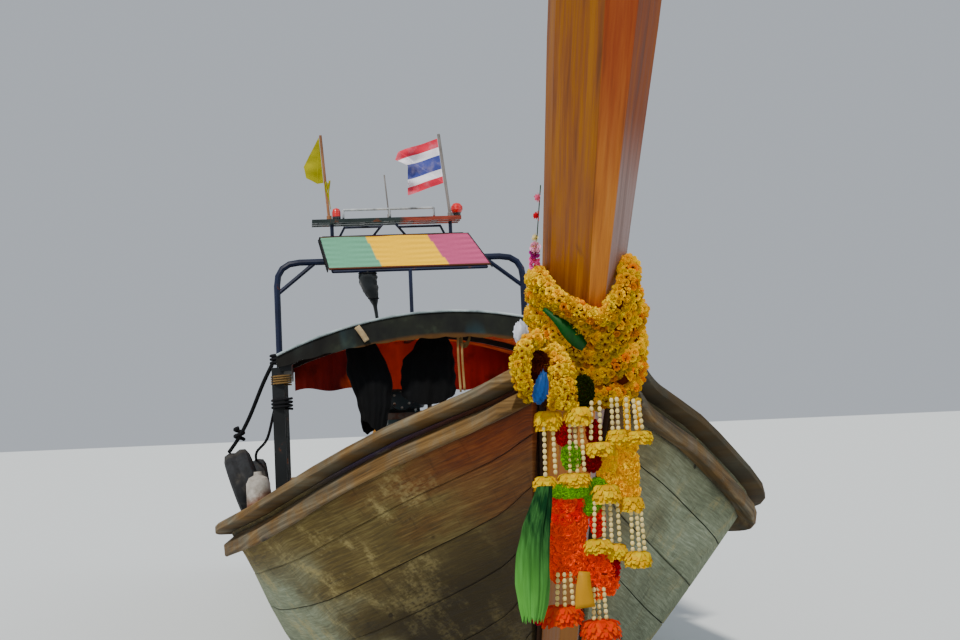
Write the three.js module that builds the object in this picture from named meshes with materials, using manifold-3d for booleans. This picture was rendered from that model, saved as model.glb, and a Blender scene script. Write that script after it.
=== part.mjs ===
// A wooden longtail boat, afloat, with its engine and tail parked clear of the water.
// Millimetres, +Z up. The bow points to -Y and starboard is -X.
// The origin is on the waterline, on the centreline, amidships.
import * as THREE from "three";
import { mergeVertices } from "three/addons/utils/BufferGeometryUtils.js";
import Module from "manifold-3d";

const wasm = await Module();
wasm.setup();

// Driving dimensions. A place along the boat is its distance aft of the bow point of the sheer line.
const MIDSHIP = 5200;
const GAP = 0.4;
const CONTACT = 2;
const PLANK = 30;
const SEAM_CUT = 5;
const SEAM_GAP = 1.5;
const STRAKES = 5;
const STATION_STEPS = [
  0, 0.25, 0.5, 0.75, 1, 1.5, 2, 2.5, 3, 3.5, 4, 4.5, 5, 5.25, 5.5, 5.75, 6, 6.25, 6.5, 6.75, 7, 7.5, 8, 8.5, 9,
  9.5, 10, 11, 12,
];

// Hull stations from the stem to the transom. Columns: sheer place, half-breadth and height,
// then keel place and height, then half-breadth and height of the bilge's control point.
const STATIONS = [
  [290, 130, 1410, 1450, -200, 78, 640],
  [560, 235, 1351, 1660, -270, 120, 430],
  [1000, 463, 1250, 1920, -320, 190, 250],
  [1500, 697, 1117, 2230, -350, 270, 110],
  [2000, 928, 965, 2550, -370, 350, 20],
  [2600, 1080, 868, 2950, -380, 460, -60],
  [3200, 1105, 809, 3400, -380, 660, -140],
  [4000, 1095, 758, 4080, -380, 860, -200],
  [5000, 1075, 712, 5030, -380, 880, -210],
  [6500, 1035, 674, 6510, -370, 850, -200],
  [8000, 975, 670, 8000, -340, 780, -170],
  [9200, 905, 693, 9180, -280, 690, -110],
  [10250, 820, 745, 10200, -200, 590, -20],
];
const SHEER_AT = 0, SHEER_HALF = 1, SHEER_Z = 2, KEEL_AT = 3, KEEL_Z = 4, BILGE_HALF = 5, BILGE_Z = 6;
const LAST = STATIONS.length - 1;
const KEEL_HALF = 58;

// Catmull-Rom value of one column of the station table at a fractional station.
function column(t, index) {
  const i = Math.min(Math.floor(t), LAST - 1);
  const f = t - i;
  const at = (k) => {
    if (k < 0) return 2 * STATIONS[0][index] - STATIONS[1][index];
    if (k > LAST) return 2 * STATIONS[LAST][index] - STATIONS[LAST - 1][index];
    return STATIONS[k][index];
  };
  const [a, b, c, d] = [at(i - 1), at(i), at(i + 1), at(i + 2)];
  return b + 0.5 * f * (c - a + f * (2 * a - 5 * b + 4 * c - d + f * (3 * (b - c) + d - a)));
}

// Outside of the starboard-mirrored half hull: u runs from 0 at the keel to 1 at the sheer.
function hullPoint(t, u) {
  const keel = new THREE.Vector3(KEEL_HALF + CONTACT, column(t, KEEL_AT), column(t, KEEL_Z));
  const sheer = new THREE.Vector3(column(t, SHEER_HALF), column(t, SHEER_AT), column(t, SHEER_Z));
  const bilgeZ = column(t, BILGE_Z);
  const share = (bilgeZ - keel.z) / (sheer.z - keel.z);
  const bilge = new THREE.Vector3(column(t, BILGE_HALF), keel.y + (sheer.y - keel.y) * share, bilgeZ);
  return keel
    .multiplyScalar((1 - u) ** 2)
    .addScaledVector(bilge, 2 * u * (1 - u))
    .addScaledVector(sheer, u * u);
}

// Outward normal of the hull by small differences.
function hullNormal(t, u) {
  const d = 0.02;
  const along = hullPoint(Math.min(t + d, LAST), u).sub(hullPoint(Math.max(t - d, 0), u));
  const up = hullPoint(t, Math.min(u + d, 1)).sub(hullPoint(t, Math.max(u - d, 0)));
  return along.cross(up).normalize();
}

// A point a distance inside (or, when negative, outside) the planking's outer face.
function inside(t, u, depth) {
  const p = hullPoint(t, u).addScaledVector(hullNormal(t, u), -depth);
  p.x = Math.max(p.x, KEEL_HALF + CONTACT);
  p.z = Math.min(p.z, sheerZAt(p.y) - 2);
  return p;
}

const toFrame = (p) => new THREE.Vector3(p.x, p.y - MIDSHIP, p.z);

// A closed solid through rings of the same number of points, capped with fans.
function loftGeometry(rings) {
  const n = rings[0].length;
  const points = rings.flat();
  const faces = [];
  for (let i = 0; i + 1 < rings.length; i++) {
    for (let k = 0; k < n; k++) {
      const a = i * n + k;
      const b = i * n + ((k + 1) % n);
      faces.push(a, b, a + n, b, b + n, a + n);
    }
  }
  const end = (rings.length - 1) * n;
  for (const [a, b, c] of capFaces(rings[0])) faces.push(a, c, b);
  for (const [a, b, c] of capFaces(rings[rings.length - 1])) faces.push(end + a, end + b, end + c);
  const geometry = new THREE.BufferGeometry().setFromPoints(points);
  geometry.setIndex(faces);
  return outward(geometry);
}

// Triangles that close a ring, turned the same way as the ring.
function capFaces(ring) {
  const flat = flatOutline(ring);
  const way = THREE.ShapeUtils.area(flat) > 0;
  return THREE.ShapeUtils.triangulateShape(flat, []).map(([a, b, c]) => {
    const same = THREE.ShapeUtils.area([flat[a], flat[b], flat[c]]) > 0 === way;
    return same ? [a, b, c] : [a, c, b];
  });
}

// A ring's points in the plane that shows it widest, for triangulating its cap.
function flatOutline(ring) {
  const normal = new THREE.Vector3();
  ring.forEach((p, i) => normal.add(p.clone().cross(ring[(i + 1) % ring.length])));
  const size = [Math.abs(normal.x), Math.abs(normal.y), Math.abs(normal.z)];
  const drop = size.indexOf(Math.max(...size));
  return ring.map((p) => {
    if (drop === 0) return new THREE.Vector2(p.y, p.z);
    if (drop === 1) return new THREE.Vector2(p.z, p.x);
    return new THREE.Vector2(p.x, p.y);
  });
}

// Turns every face round if the solid's volume is negative.
function outward(geometry) {
  const p = geometry.getAttribute("position");
  const index = geometry.getIndex();
  const v = [0, 1, 2].map(() => new THREE.Vector3());
  let volume = 0;
  for (let i = 0; i < index.count; i += 3) {
    v.forEach((q, k) => q.fromBufferAttribute(p, index.getX(i + k)));
    volume += v[0].dot(v[1].clone().cross(v[2]));
  }
  if (volume < 0) {
    for (let i = 0; i < index.count; i += 3) {
      const keep = index.getX(i + 1);
      index.setX(i + 1, index.getX(i + 2));
      index.setX(i + 2, keep);
    }
  }
  return geometry;
}

// Solids for the library, and back to three.js geometry.
function solidOf(geometry) {
  const bare = geometry.clone();
  bare.deleteAttribute("normal");
  bare.deleteAttribute("uv");
  const merged = mergeVertices(bare, 1e-3);
  return new wasm.Manifold(
    new wasm.Mesh({
      numProp: 3,
      vertProperties: new Float32Array(merged.getAttribute("position").array),
      triVerts: new Uint32Array(merged.getIndex().array),
    }),
  );
}

function geometryOf(solid) {
  const mesh = solid.getMesh();
  const geometry = new THREE.BufferGeometry();
  geometry.setAttribute("position", new THREE.BufferAttribute(new Float32Array(mesh.vertProperties), 3));
  geometry.setIndex(new THREE.BufferAttribute(new Uint32Array(mesh.triVerts), 1));
  geometry.computeVertexNormals();
  return geometry;
}

const join = (geometries) => geometryOf(geometries.map(solidOf).reduce((a, b) => a.add(b)));

function cut(geometry, cutters) {
  return geometryOf(cutters.map(solidOf).reduce((a, b) => a.subtract(b), solidOf(geometry)));
}

const mirrored = (rings) => rings.map((ring) => ring.map((p) => new THREE.Vector3(-p.x, p.y, p.z)));

function box(width, length, height, x, y, z) {
  return new THREE.BoxGeometry(width, length, height).translate(x, y, z);
}

// A straight round bar between two points.
function bar(from, to, radius, sides = 8) {
  const a = new THREE.Vector3(...from);
  const b = new THREE.Vector3(...to);
  const geometry = new THREE.CylinderGeometry(radius, radius, a.distanceTo(b), sides);
  const turn = new THREE.Quaternion().setFromUnitVectors(
    new THREE.Vector3(0, 1, 0),
    b.clone().sub(a).normalize(),
  );
  return geometry.applyQuaternion(turn).translate((a.x + b.x) / 2, (a.y + b.y) / 2, (a.z + b.z) / 2);
}

// A round bar along a chain of points, with round corners of the given radius.
function bentBar(points, radius, corner, sides = 8, cornerSteps = 4) {
  const p = points.map((q) => new THREE.Vector3(...q));
  const line = [p[0]];
  for (let i = 1; i < p.length; i++) {
    if (i < p.length - 1) {
      const back = p[i - 1].clone().sub(p[i]).setLength(corner).add(p[i]);
      const ahead = p[i + 1].clone().sub(p[i]).setLength(corner).add(p[i]);
      const curve = new THREE.QuadraticBezierCurve3(back, p[i], ahead);
      line.push(...curve.getPoints(cornerSteps));
    } else {
      line.push(p[i]);
    }
  }
  return tubeAlong(line, radius, sides);
}

// A tube with closed ends through a chain of points, its section kept square to the way.
function tubeAlong(line, radius, sides = 8) {
  const rings = [];
  let side = null;
  line.forEach((p, i) => {
    const ahead = line[Math.min(i + 1, line.length - 1)].clone().sub(line[Math.max(i - 1, 0)]).normalize();
    if (!side) {
      const any = Math.abs(ahead.z) < 0.9 ? new THREE.Vector3(0, 0, 1) : new THREE.Vector3(1, 0, 0);
      side = any.cross(ahead).normalize();
    } else {
      side = side.addScaledVector(ahead, -side.dot(ahead)).normalize();
    }
    const other = ahead.clone().cross(side);
    const ring = [];
    for (let k = 0; k < sides; k++) {
      const a = (2 * Math.PI * k) / sides;
      ring.push(
        p.clone().addScaledVector(side, radius * Math.cos(a)).addScaledVector(other, radius * Math.sin(a)),
      );
    }
    rings.push(ring);
  });
  return loftGeometry(rings);
}

// The hull's outer half-breadth at a place along the boat and a height, less an inset.
function halfAt(place, z, inset = 0) {
  let previous = null;
  for (let u = 0; u <= 1.0001; u += 0.02) {
    let low = 0;
    let high = LAST;
    for (let k = 0; k < 24; k++) {
      const middle = (low + high) / 2;
      if (hullPoint(middle, u).y < place) low = middle;
      else high = middle;
    }
    const p = inset ? inside(low, u, inset) : hullPoint(low, u);
    if (previous && p.z >= z) {
      const f = (z - previous.z) / (p.z - previous.z);
      return previous.x + (p.x - previous.x) * f;
    }
    previous = p;
  }
  return previous.x;
}

// The fractional station whose sheer or keel lies at a place along the boat.
function stationAt(at, index) {
  let low = 0;
  let high = LAST;
  for (let k = 0; k < 30; k++) {
    const middle = (low + high) / 2;
    if (column(middle, index) < at) low = middle;
    else high = middle;
  }
  return low;
}

// Height of the sheer at a place along the boat, straight between the stations that are drawn.
function sheerZAt(at) {
  const found = STATION_STEPS.findIndex((t) => column(t, SHEER_AT) >= at);
  const next = found < 0 ? STATION_STEPS.length - 1 : Math.max(1, found);
  const [a, b] = [STATION_STEPS[next - 1], STATION_STEPS[next]];
  const from = column(a, SHEER_AT);
  const share = (at - from) / (column(b, SHEER_AT) - from);
  return column(a, SHEER_Z) + (column(b, SHEER_Z) - column(a, SHEER_Z)) * share;
}

// A point beside a plank seam: across is the distance up the girth, depth the distance inwards.
function seamPoint(t, u, across, depth) {
  const d = 0.01;
  const normal = hullNormal(t, u);
  const up = hullPoint(t, Math.min(u + d, 1)).sub(hullPoint(t, Math.max(u - d, 0)));
  up.addScaledVector(normal, -up.dot(normal)).normalize();
  const p = hullPoint(t, u).addScaledVector(up, across).addScaledVector(normal, -depth);
  p.x = Math.max(p.x, KEEL_HALF + CONTACT);
  if (u === 1) p.z = Math.min(p.z, sheerZAt(p.y) - 1);
  return p;
}

// Planking: five strakes a side, with a small cut along each seam. Each strake above the lowest is
// two boards wide, with a groove where the boards meet.
const GROOVE = 4;
const GROOVE_DEEP = 7;

function boardSeam(t, middle, row) {
  if (row === 0) return [inside(t, middle, 0)];
  return [
    seamPoint(t, middle, -GROOVE, 0),
    seamPoint(t, middle, 0, GROOVE_DEEP),
    seamPoint(t, middle, GROOVE, 0),
  ];
}

function strakeRings(row) {
  const low = row / STRAKES;
  const high = (row + 1) / STRAKES;
  const middle = (low + high) / 2;
  const cutLow = row > 0 ? SEAM_CUT : 0;
  const cutHigh = row < STRAKES - 1 ? SEAM_CUT : 0;
  return STATION_STEPS.map((t) =>
    [
      seamPoint(t, low, SEAM_GAP, cutLow),
      seamPoint(t, low, SEAM_GAP + SEAM_CUT, 0),
      ...boardSeam(t, middle, row),
      seamPoint(t, high, -SEAM_GAP - SEAM_CUT, 0),
      seamPoint(t, high, -SEAM_GAP, cutHigh),
      seamPoint(t, high, -SEAM_GAP, PLANK),
      inside(t, middle, PLANK),
      seamPoint(t, low, SEAM_GAP, PLANK),
    ].map(toFrame),
  );
}

// The space of one side between two depths of its planking, to trim what fits against it.
const TRIM_CLEAR = 1.2;
const TRIM_REACH = 150;

function hullSpace(turn, inner, outer) {
  const shares = Array.from({ length: 2 * STRAKES + 1 }, (_, i) => i / (2 * STRAKES));
  const rings = STATION_STEPS.map((t) => {
    const down = shares.map((u) => seamPoint(t, u, 0, inner)).reverse();
    const up = shares.map((u) => seamPoint(t, u, 0, outer));
    return [...down, ...up].map(toFrame);
  });
  return loftGeometry(turn(rings));
}

const SIDES = [
  ["port", (rings) => rings],
  ["starboard", mirrored],
];
const OUTSIDE = SIDES.map(([, turn]) => hullSpace(turn, PLANK + TRIM_CLEAR, -TRIM_REACH));
const trimmed = (geometry) => cut(geometry, OUTSIDE);

// A slice of hull side between two girth shares and two depths, as one loft along the boat.
function sideLoft(steps, low, high, outer, inner) {
  return steps.map((t) =>
    [inside(t, low, outer), inside(t, high, outer), inside(t, high, inner), inside(t, low, inner)].map(toFrame),
  );
}

const KEEL_RISE = 45;
const KEEL_DROP = 70;

// Height of the keel's top at a place along the boat.
const keelTopAt = (at) => column(stationAt(at, KEEL_AT), KEEL_Z) + KEEL_RISE;

function keelGeometry() {
  const rings = [[1290, -165, -215]];
  for (const t of STATION_STEPS) {
    const z = column(t, KEEL_Z);
    rings.push([column(t, KEEL_AT), z + KEEL_RISE, z - KEEL_DROP]);
  }
  return loftGeometry(
    rings.map(([at, top, bottom]) =>
      [
        [-KEEL_HALF, top],
        [KEEL_HALF, top],
        [KEEL_HALF, bottom],
        [-KEEL_HALF, bottom],
      ].map(([x, z]) => new THREE.Vector3(x, at - MIDSHIP, z)),
    ),
  );
}

// The stem post. Columns: height, nose half-thickness, full half-thickness, taper depth, whole depth.
const STEM_RAKE = 0.76;
const STEM_FOOT = 1514;
const STEM_SECTIONS = [
  [-150, 30, 54, 120, 330],
  [300, 30, 54, 130, 330],
  [640, 28, 56, 150, 330],
  [1000, 26, 66, 180, 330],
  [1250, 24, 80, 200, 330],
  [1400, 21, 90, 210, 335],
  [1514, 20, 98, 210, 340],
  [1800, 28, 110, 205, 335],
  [2270, 40, 131, 190, 330],
  [2950, 52, 150, 170, 320],
];
const noseAt = (z) => -20 + STEM_RAKE * (STEM_FOOT - z);

function stemRing([z, nose, half, taper, depth], grow = 0) {
  const front = noseAt(z) - grow - MIDSHIP;
  const back = noseAt(z) + depth + grow - MIDSHIP;
  const shoulder = noseAt(z) + taper - MIDSHIP;
  return [
    [-nose - grow, front],
    [nose + grow, front],
    [half + grow, shoulder],
    [half + grow, back],
    [-half - grow, back],
    [-half - grow, shoulder],
  ].map(([x, y]) => new THREE.Vector3(x, y, z));
}

const stemGeometry = (grow = 0) => loftGeometry(STEM_SECTIONS.map((row) => stemRing(row, grow)));

function transomGeometry() {
  const thickness = 45;
  const floor = column(LAST, KEEL_Z) + KEEL_RISE + 8;
  const shares = [0, 0.1, 0.2, 0.3, 0.4, 0.5, 0.6, 0.7, 0.8, 0.9, 1];
  const ring = (t) => {
    const side = shares.map((u) => {
      const p = toFrame(seamPoint(t, u, 0, PLANK + 2));
      p.z = Math.max(p.z, floor);
      return p;
    });
    const other = side.map((p) => new THREE.Vector3(-p.x, p.y, p.z)).reverse();
    return [...side, ...other];
  };
  return loftGeometry([ring(LAST), ring(LAST - thickness / 1050)]);
}

// The gunwale: a wale outside the top strake, and a cap over both.
const CAP_HEIGHT = 34;
const CAP_IN = 95;
const CAP_OUT = 70;

function capRings() {
  const rings = [];
  const section = (inner, outer, at, z) =>
    [
      [inner, z + GAP],
      [outer, z + GAP],
      [outer, z + CAP_HEIGHT - 8],
      [outer - 8, z + CAP_HEIGHT],
      [inner, z + CAP_HEIGHT],
    ].map(([x, height]) => new THREE.Vector3(x, at - MIDSHIP, height));
  rings.push(section(100, 118, 130, 1448));
  for (const t of STATION_STEPS) {
    const half = column(t, SHEER_HALF);
    const at = column(t, SHEER_AT);
    rings.push(section(Math.max(half - CAP_IN, 102), half + CAP_OUT, at, column(t, SHEER_Z)));
  }
  return rings;
}

// The wale: a guard plank below the cap, whose face leans out as far as the cap at its lower edge.
// Columns: distance down the top strake, distance out from it.
const WALE_SECTION = [
  [20, 0],
  [23, 54],
  [66, 76],
  [75, 72],
  [84, 0],
];
const WALE_CLEAR = 2;

const waleRings = () =>
  STATION_STEPS.map((t) =>
    WALE_SECTION.map(([down, out]) => toFrame(seamPoint(t, 1, -down, -out - WALE_CLEAR))),
  );

// Floor timbers, ribs, keelson and the risers that the seats rest on. The keelson and the risers
// are in lengths that butt between ribs, so the framing is three pieces: ribs, keelson, risers.
const FRAME_GROUPS = {
  frames_fore: [[2, 3, 4, 5], [1.7, 5.499], null],
  frames_mid: [[6, 7, 7.8, 8.6], [5.5, 8.999], [6, 7, 8, 8.999]],
  frames_aft: [[9.4, 10.2, 11, 11.75], [9, 11.75], [9, 10, 11.2]],
};
const RIB_WIDTH = 50;
const RIB_DEEP = 52;
const RIB_GAP = 7;
const RISER_SHARE = 0.75;
const RISER_LAP = 6;
const RISER_DEEP = 34;
const KEELSON_HALF = 50;
const KEELSON_RISE = 90;
const FLOOR_Z = -164;

function ribGeometries(t) {
  const spacing = column(Math.min(t + 0.5, LAST), SHEER_AT) - column(t - 0.5, SHEER_AT);
  const step = RIB_WIDTH / 2 / spacing;
  const shares = [0.1, 0.3, 0.5, 0.7, 0.97];
  const rings = shares.map((u) =>
    [
      inside(t - step, u, PLANK + RIB_GAP),
      inside(t + step, u, PLANK + RIB_GAP),
      inside(t + step, u, PLANK + RIB_DEEP),
      inside(t - step, u, PLANK + RIB_DEEP),
    ].map(toFrame),
  );
  const floorShares = [0.04, 0.1, 0.17, 0.25];
  const floorRing = (at) => {
    const side = floorShares.map((u) => toFrame(inside(at, u, PLANK + RIB_GAP + 3)));
    side.forEach((p) => (p.z = Math.max(p.z, keelTopAt(p.y + MIDSHIP) + 4)));
    const end = side[side.length - 1];
    const raised = end.z + 2 < FLOOR_Z - GAP ? FLOOR_Z - GAP : end.z + 6;
    return [
      ...side,
      new THREE.Vector3(end.x - 4, end.y, raised),
      new THREE.Vector3(4 - end.x, end.y, raised),
      ...side.map((p) => new THREE.Vector3(-p.x, p.y, p.z)).reverse(),
    ];
  };
  const floor = loftGeometry([floorRing(t - step * 0.9), floorRing(t + step * 0.9)]);
  return [loftGeometry(rings), loftGeometry(mirrored(rings)), floor];
}

function riserGeometries(steps) {
  const outer = PLANK + RIB_DEEP - RISER_LAP;
  const inner = PLANK + RIB_DEEP + RISER_DEEP;
  const rings = sideLoft(steps, 0.68, RISER_SHARE, outer, inner);
  return [loftGeometry(rings), loftGeometry(mirrored(rings))];
}

function keelsonGeometry(steps) {
  return loftGeometry(
    steps.map((t) => {
      const z = column(t, KEEL_Z) + KEEL_RISE + 4;
      const at = column(t, KEEL_AT) - MIDSHIP;
      return [
        [-KEELSON_HALF, z],
        [KEELSON_HALF, z],
        [KEELSON_HALF, z + KEELSON_RISE],
        [-KEELSON_HALF, z + KEELSON_RISE],
      ].map(([x, height]) => new THREE.Vector3(x, at, height));
    }),
  );
}

function framesGeometry([ribs, [keelsonFrom, keelsonTo], risers]) {
  const between = ribs.filter((t) => t > keelsonFrom && t < keelsonTo);
  const pieces = ribs.flatMap((t) => ribGeometries(t));
  pieces.push(keelsonGeometry([keelsonFrom, ...between, keelsonTo]));
  if (risers) pieces.push(...riserGeometries(risers));
  return join(pieces);
}

// Boards are notched round the ribs, a little wide, and kept clear of the planking.
const NOTCH_CLEAR = 2;
const FRAMES = Object.entries(FRAME_GROUPS).map(([name, group]) => [name, framesGeometry(group)]);
const NOTCH_SHIFTS = [
  [NOTCH_CLEAR, 0, 0],
  [-NOTCH_CLEAR, 0, 0],
  [0, NOTCH_CLEAR, 0],
  [0, -NOTCH_CLEAR, 0],
  [0, 0, GAP],
];
const RIB_SPACE = [
  ...OUTSIDE,
  ...FRAMES.flatMap(([, frames]) => NOTCH_SHIFTS.map((shift) => frames.clone().translate(...shift))),
];

// The notches leave slips of board behind the ribs, which are dropped.
function notched(geometry) {
  const pieces = solidOf(cut(geometry, RIB_SPACE)).decompose();
  return geometryOf(pieces.reduce((a, b) => (a.volume() > b.volume() ? a : b)));
}

// A flat board whose ends follow the hull, between two places along the boat.
function fittedBoard(from, to, z, thickness, inset, steps = 5) {
  const outline = [];
  for (let i = 0; i <= steps; i++) {
    const at = from + ((to - from) * i) / steps;
    const half = Math.min(halfAt(at, z, inset), halfAt(at, z + thickness, inset));
    outline.push([half, at - MIDSHIP]);
  }
  const shape = new THREE.Shape();
  outline.forEach(([x, y], i) => (i ? shape.lineTo(x, y) : shape.moveTo(x, y)));
  outline
    .slice()
    .reverse()
    .forEach(([x, y]) => shape.lineTo(-x, y));
  return new THREE.ExtrudeGeometry(shape, { depth: thickness, bevelEnabled: false }).translate(0, 0, z);
}

// Flat floor, decks and seats.
const BOARD = 22;
const FOREDECK = { drop: 120 };
const AFT_DECK = { from: 8950, to: 10180, z: 470 };
const SEATS = [5050, 5750, 6450, 7150, 7850];
const SEAT_DEEP = 230;

// Height of a seat's underside: it rests on the risers.
function seatZ(at) {
  const t = stationAt(at, SHEER_AT);
  return inside(t, RISER_SHARE, PLANK + RIB_DEEP + RISER_DEEP).z + 8;
}

// The foredeck follows the sheer a little below the gunwale.
function foredeckGeometry() {
  const rings = [];
  for (let t = 1.75; t <= 4.26; t += 0.5) {
    const z = column(t, SHEER_Z) - FOREDECK.drop;
    const at = column(t, SHEER_AT);
    const half = halfAt(at, z - BOARD, PLANK + 6);
    rings.push(
      [
        [-half, z - BOARD],
        [half, z - BOARD],
        [half, z],
        [-half, z],
      ].map(([x, height]) => new THREE.Vector3(x, at - MIDSHIP, height)),
    );
  }
  return loftGeometry(rings);
}

// The canopy: a low barrel roof on six posts that stand on the gunwale caps.
const CANOPY = { from: 4600, to: 8000, half: 895, edge: 1640, crown: 1840, thick: 14 };
const CANOPY_POSTS = [4650, 5750, 6850, 7950];
const POST = 64;
const POST_X = 905;
const ARCH_AT = 8360;
const ARCH_SIDES = [-932, 942];
const ARCH_TOP = 2465;
const PIPE = 25;

// Height of the canopy's underside at a distance from the centreline.
function canopyUnder(x) {
  const rise = CANOPY.crown - CANOPY.edge;
  return CANOPY.edge + rise * (1 - (x / CANOPY.half) ** 2);
}

// An arched sheet between two places, with one offset below and one above the canopy line.
function archedSheet(half, from, to, low, high, steps = 12) {
  const shape = new THREE.Shape();
  const xs = Array.from({ length: steps + 1 }, (_, i) => -half + (2 * half * i) / steps);
  xs.forEach((x, i) => (i ? shape.lineTo(x, canopyUnder(x) + low) : shape.moveTo(x, canopyUnder(x) + low)));
  xs.reverse().forEach((x) => shape.lineTo(x, canopyUnder(x) + high));
  const geometry = new THREE.ExtrudeGeometry(shape, { depth: to - from, bevelEnabled: false });
  return geometry.rotateX(Math.PI / 2).translate(0, to - MIDSHIP, 0);
}

// Height of the top of the gunwale cap at a place along the boat.
const capTop = (at) => sheerZAt(at) + CAP_HEIGHT;

// Height of a flat foot plate that just clears the sloping cap.
const footOn = (at, half) => Math.max(capTop(at - half), capTop(at + half)) + 1;

const sheerHalfAt = (at) => halfAt(at, capTop(at) - CAP_HEIGHT - 1);

const FLAP = 45;
const HOOP = 40;
const FOOT_LONG = 200;
const UNDER_CLEAR = 3;

function canopyFrameGeometry() {
  const pieces = [];
  const length = CANOPY.to - CANOPY.from - 20;
  const middle = (CANOPY.to + CANOPY.from) / 2 - MIDSHIP;
  const beamX = CANOPY.half - 35;
  const beamTop = CANOPY.edge - UNDER_CLEAR;
  const postTop = CANOPY.edge - FLAP - 12;
  for (const at of CANOPY_POSTS) {
    for (const side of [-1, 1]) {
      const foot = footOn(at, POST);
      const x = side * POST_X;
      pieces.push(box(POST, POST, postTop - foot, x, at - MIDSHIP, (postTop + foot) / 2));
      pieces.push(box(FOOT_LONG, POST + 60, 10, x + side * (FOOT_LONG / 2 - POST), at - MIDSHIP, foot + 5));
    }
    pieces.push(archedSheet(CANOPY.half - 8, at - 22, at + 22, -HOOP, -UNDER_CLEAR));
  }
  for (const side of [-1, 1]) pieces.push(box(60, length, 75, side * beamX, middle, beamTop - 75 / 2));
  const ridge = 30;
  pieces.push(box(40, length, ridge, 0, middle, canopyUnder(0) - UNDER_CLEAR - ridge / 2));
  return join(pieces);
}

function canopyCoverGeometry() {
  const reach = 14;
  const half = CANOPY.half + reach;
  const pieces = [archedSheet(half, CANOPY.from - 10, CANOPY.to + 10, 0, CANOPY.thick)];
  const top = canopyUnder(half) + CANOPY.thick;
  const length = CANOPY.to - CANOPY.from + 20;
  for (const side of [-1, 1]) {
    const x = side * (half - 6);
    pieces.push(box(12, length, FLAP + CANOPY.thick, x, (CANOPY.to + CANOPY.from) / 2 - MIDSHIP, top - (FLAP + CANOPY.thick) / 2));
  }
  return join(pieces);
}

// The curtain that closes the upper part of the canopy's after end.
function curtainGeometry() {
  const half = CANOPY.half - 70;
  const shape = new THREE.Shape();
  shape.moveTo(-half, 1450);
  shape.lineTo(half, 1450);
  const steps = 10;
  for (let i = 0; i <= steps; i++) {
    const x = half - (2 * half * i) / steps;
    shape.lineTo(x, canopyUnder(x) - 46);
  }
  const geometry = new THREE.ExtrudeGeometry(shape, { depth: 16, bevelEnabled: false });
  return geometry.rotateX(Math.PI / 2).translate(0, CANOPY_POSTS[3] - 40 - MIDSHIP, 0);
}

// The steersman's arch of bent pipe: braces, uprights for the lamp rack, and the awning's frame.
const RACK = { low: 2745, x: [-653, 472], y: [8230, 8490] };
const RACK_POSTS = [-503, 399];
// Braces over the back of the awning. Columns: place across and height of one end, then of the other.
const BRACES = [
  [-452, 2638, -410, 2714],
  [-418, 2714, -134, 2714],
  [-200, 2638, -120, 2733],
  [55, 2638, -24, 2733],
  [-8, 2708, 322, 2708],
  [316, 2708, 350, 2638],
];
const AWNING = {
  front: { at: 7930, z: 2370, x: 50, half: 596 },
  back: { at: 8300, z: 2658, x: -46, half: 558 },
};
const AWNING_DROP = 17;

function awningEdge(side, { at, z, x, half }, inset = 0) {
  return [x + side * (half - inset), at - MIDSHIP, z];
}

function driverFrameGeometry() {
  const y = ARCH_AT - MIDSHIP;
  const foot = footOn(ARCH_AT, 55);
  const [left, right] = ARCH_SIDES;
  const pieces = [
    bentBar(
      [
        [left, y, foot],
        [left, y, ARCH_TOP],
        [right, y, ARCH_TOP],
        [right, y, foot],
      ],
      PIPE,
      175,
      10,
    ),
  ];
  for (const x of ARCH_SIDES) {
    pieces.push(box(100, 100, 8, x, y, foot + 4));
    pieces.push(bar([x * 0.68, y, ARCH_TOP], [x, y, 2230], 16));
  }
  for (const x of RACK_POSTS) pieces.push(bar([x, y, ARCH_TOP], [x, y, RACK.low - GAP], 14));
  const front = { ...AWNING.front, z: AWNING.front.z - AWNING_DROP };
  const back = { ...AWNING.back, z: AWNING.back.z - AWNING_DROP };
  const corners = [-1, 1].map((side) => [awningEdge(side, front, 30), awningEdge(side, back, 25)]);
  for (const [near, far] of corners) {
    pieces.push(bar(near, far, 12));
    pieces.push(bar(near, [near[0] * 0.98, y, ARCH_TOP], 12));
  }
  pieces.push(bar(corners[0][0], corners[1][0], 12));
  pieces.push(bar(corners[0][1], corners[1][1], 12));
  const rear = back.at - MIDSHIP;
  for (const x of RACK_POSTS) pieces.push(bar([x, y, back.z], [x, rear, back.z], 11));
  for (const [x1, z1, x2, z2] of BRACES) pieces.push(bar([x1, rear, z1], [x2, rear, z2], 9));
  const prop = 50;
  const roof = canopyUnder(prop) + CANOPY.thick + 2;
  pieces.push(bar([prop, front.at - MIDSHIP, roof], [prop, front.at - MIDSHIP, front.z], 14));
  return join(pieces);
}

// The sloping awning panel, which stops short of its back rail to clear the braces.
const AWNING_SHORT = 26;

function awningGeometry() {
  const thick = 10;
  const ring = (edge) => {
    const [left, y, z] = awningEdge(-1, edge);
    const [right] = awningEdge(1, edge);
    return [
      [left, z],
      [right, z],
      [right, z + thick],
      [left, z + thick],
    ].map(([x, height]) => new THREE.Vector3(x, y, height));
  };
  const { front, back } = AWNING;
  const slope = (back.z - front.z) / (back.at - front.at);
  const end = { ...back, at: back.at - AWNING_SHORT, z: back.z - AWNING_SHORT * slope };
  return loftGeometry([ring(front), ring(end)]);
}

// The lamp rack: a slatted tray of tube with a low rail.
const RACK_TUBE = 14;

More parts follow.
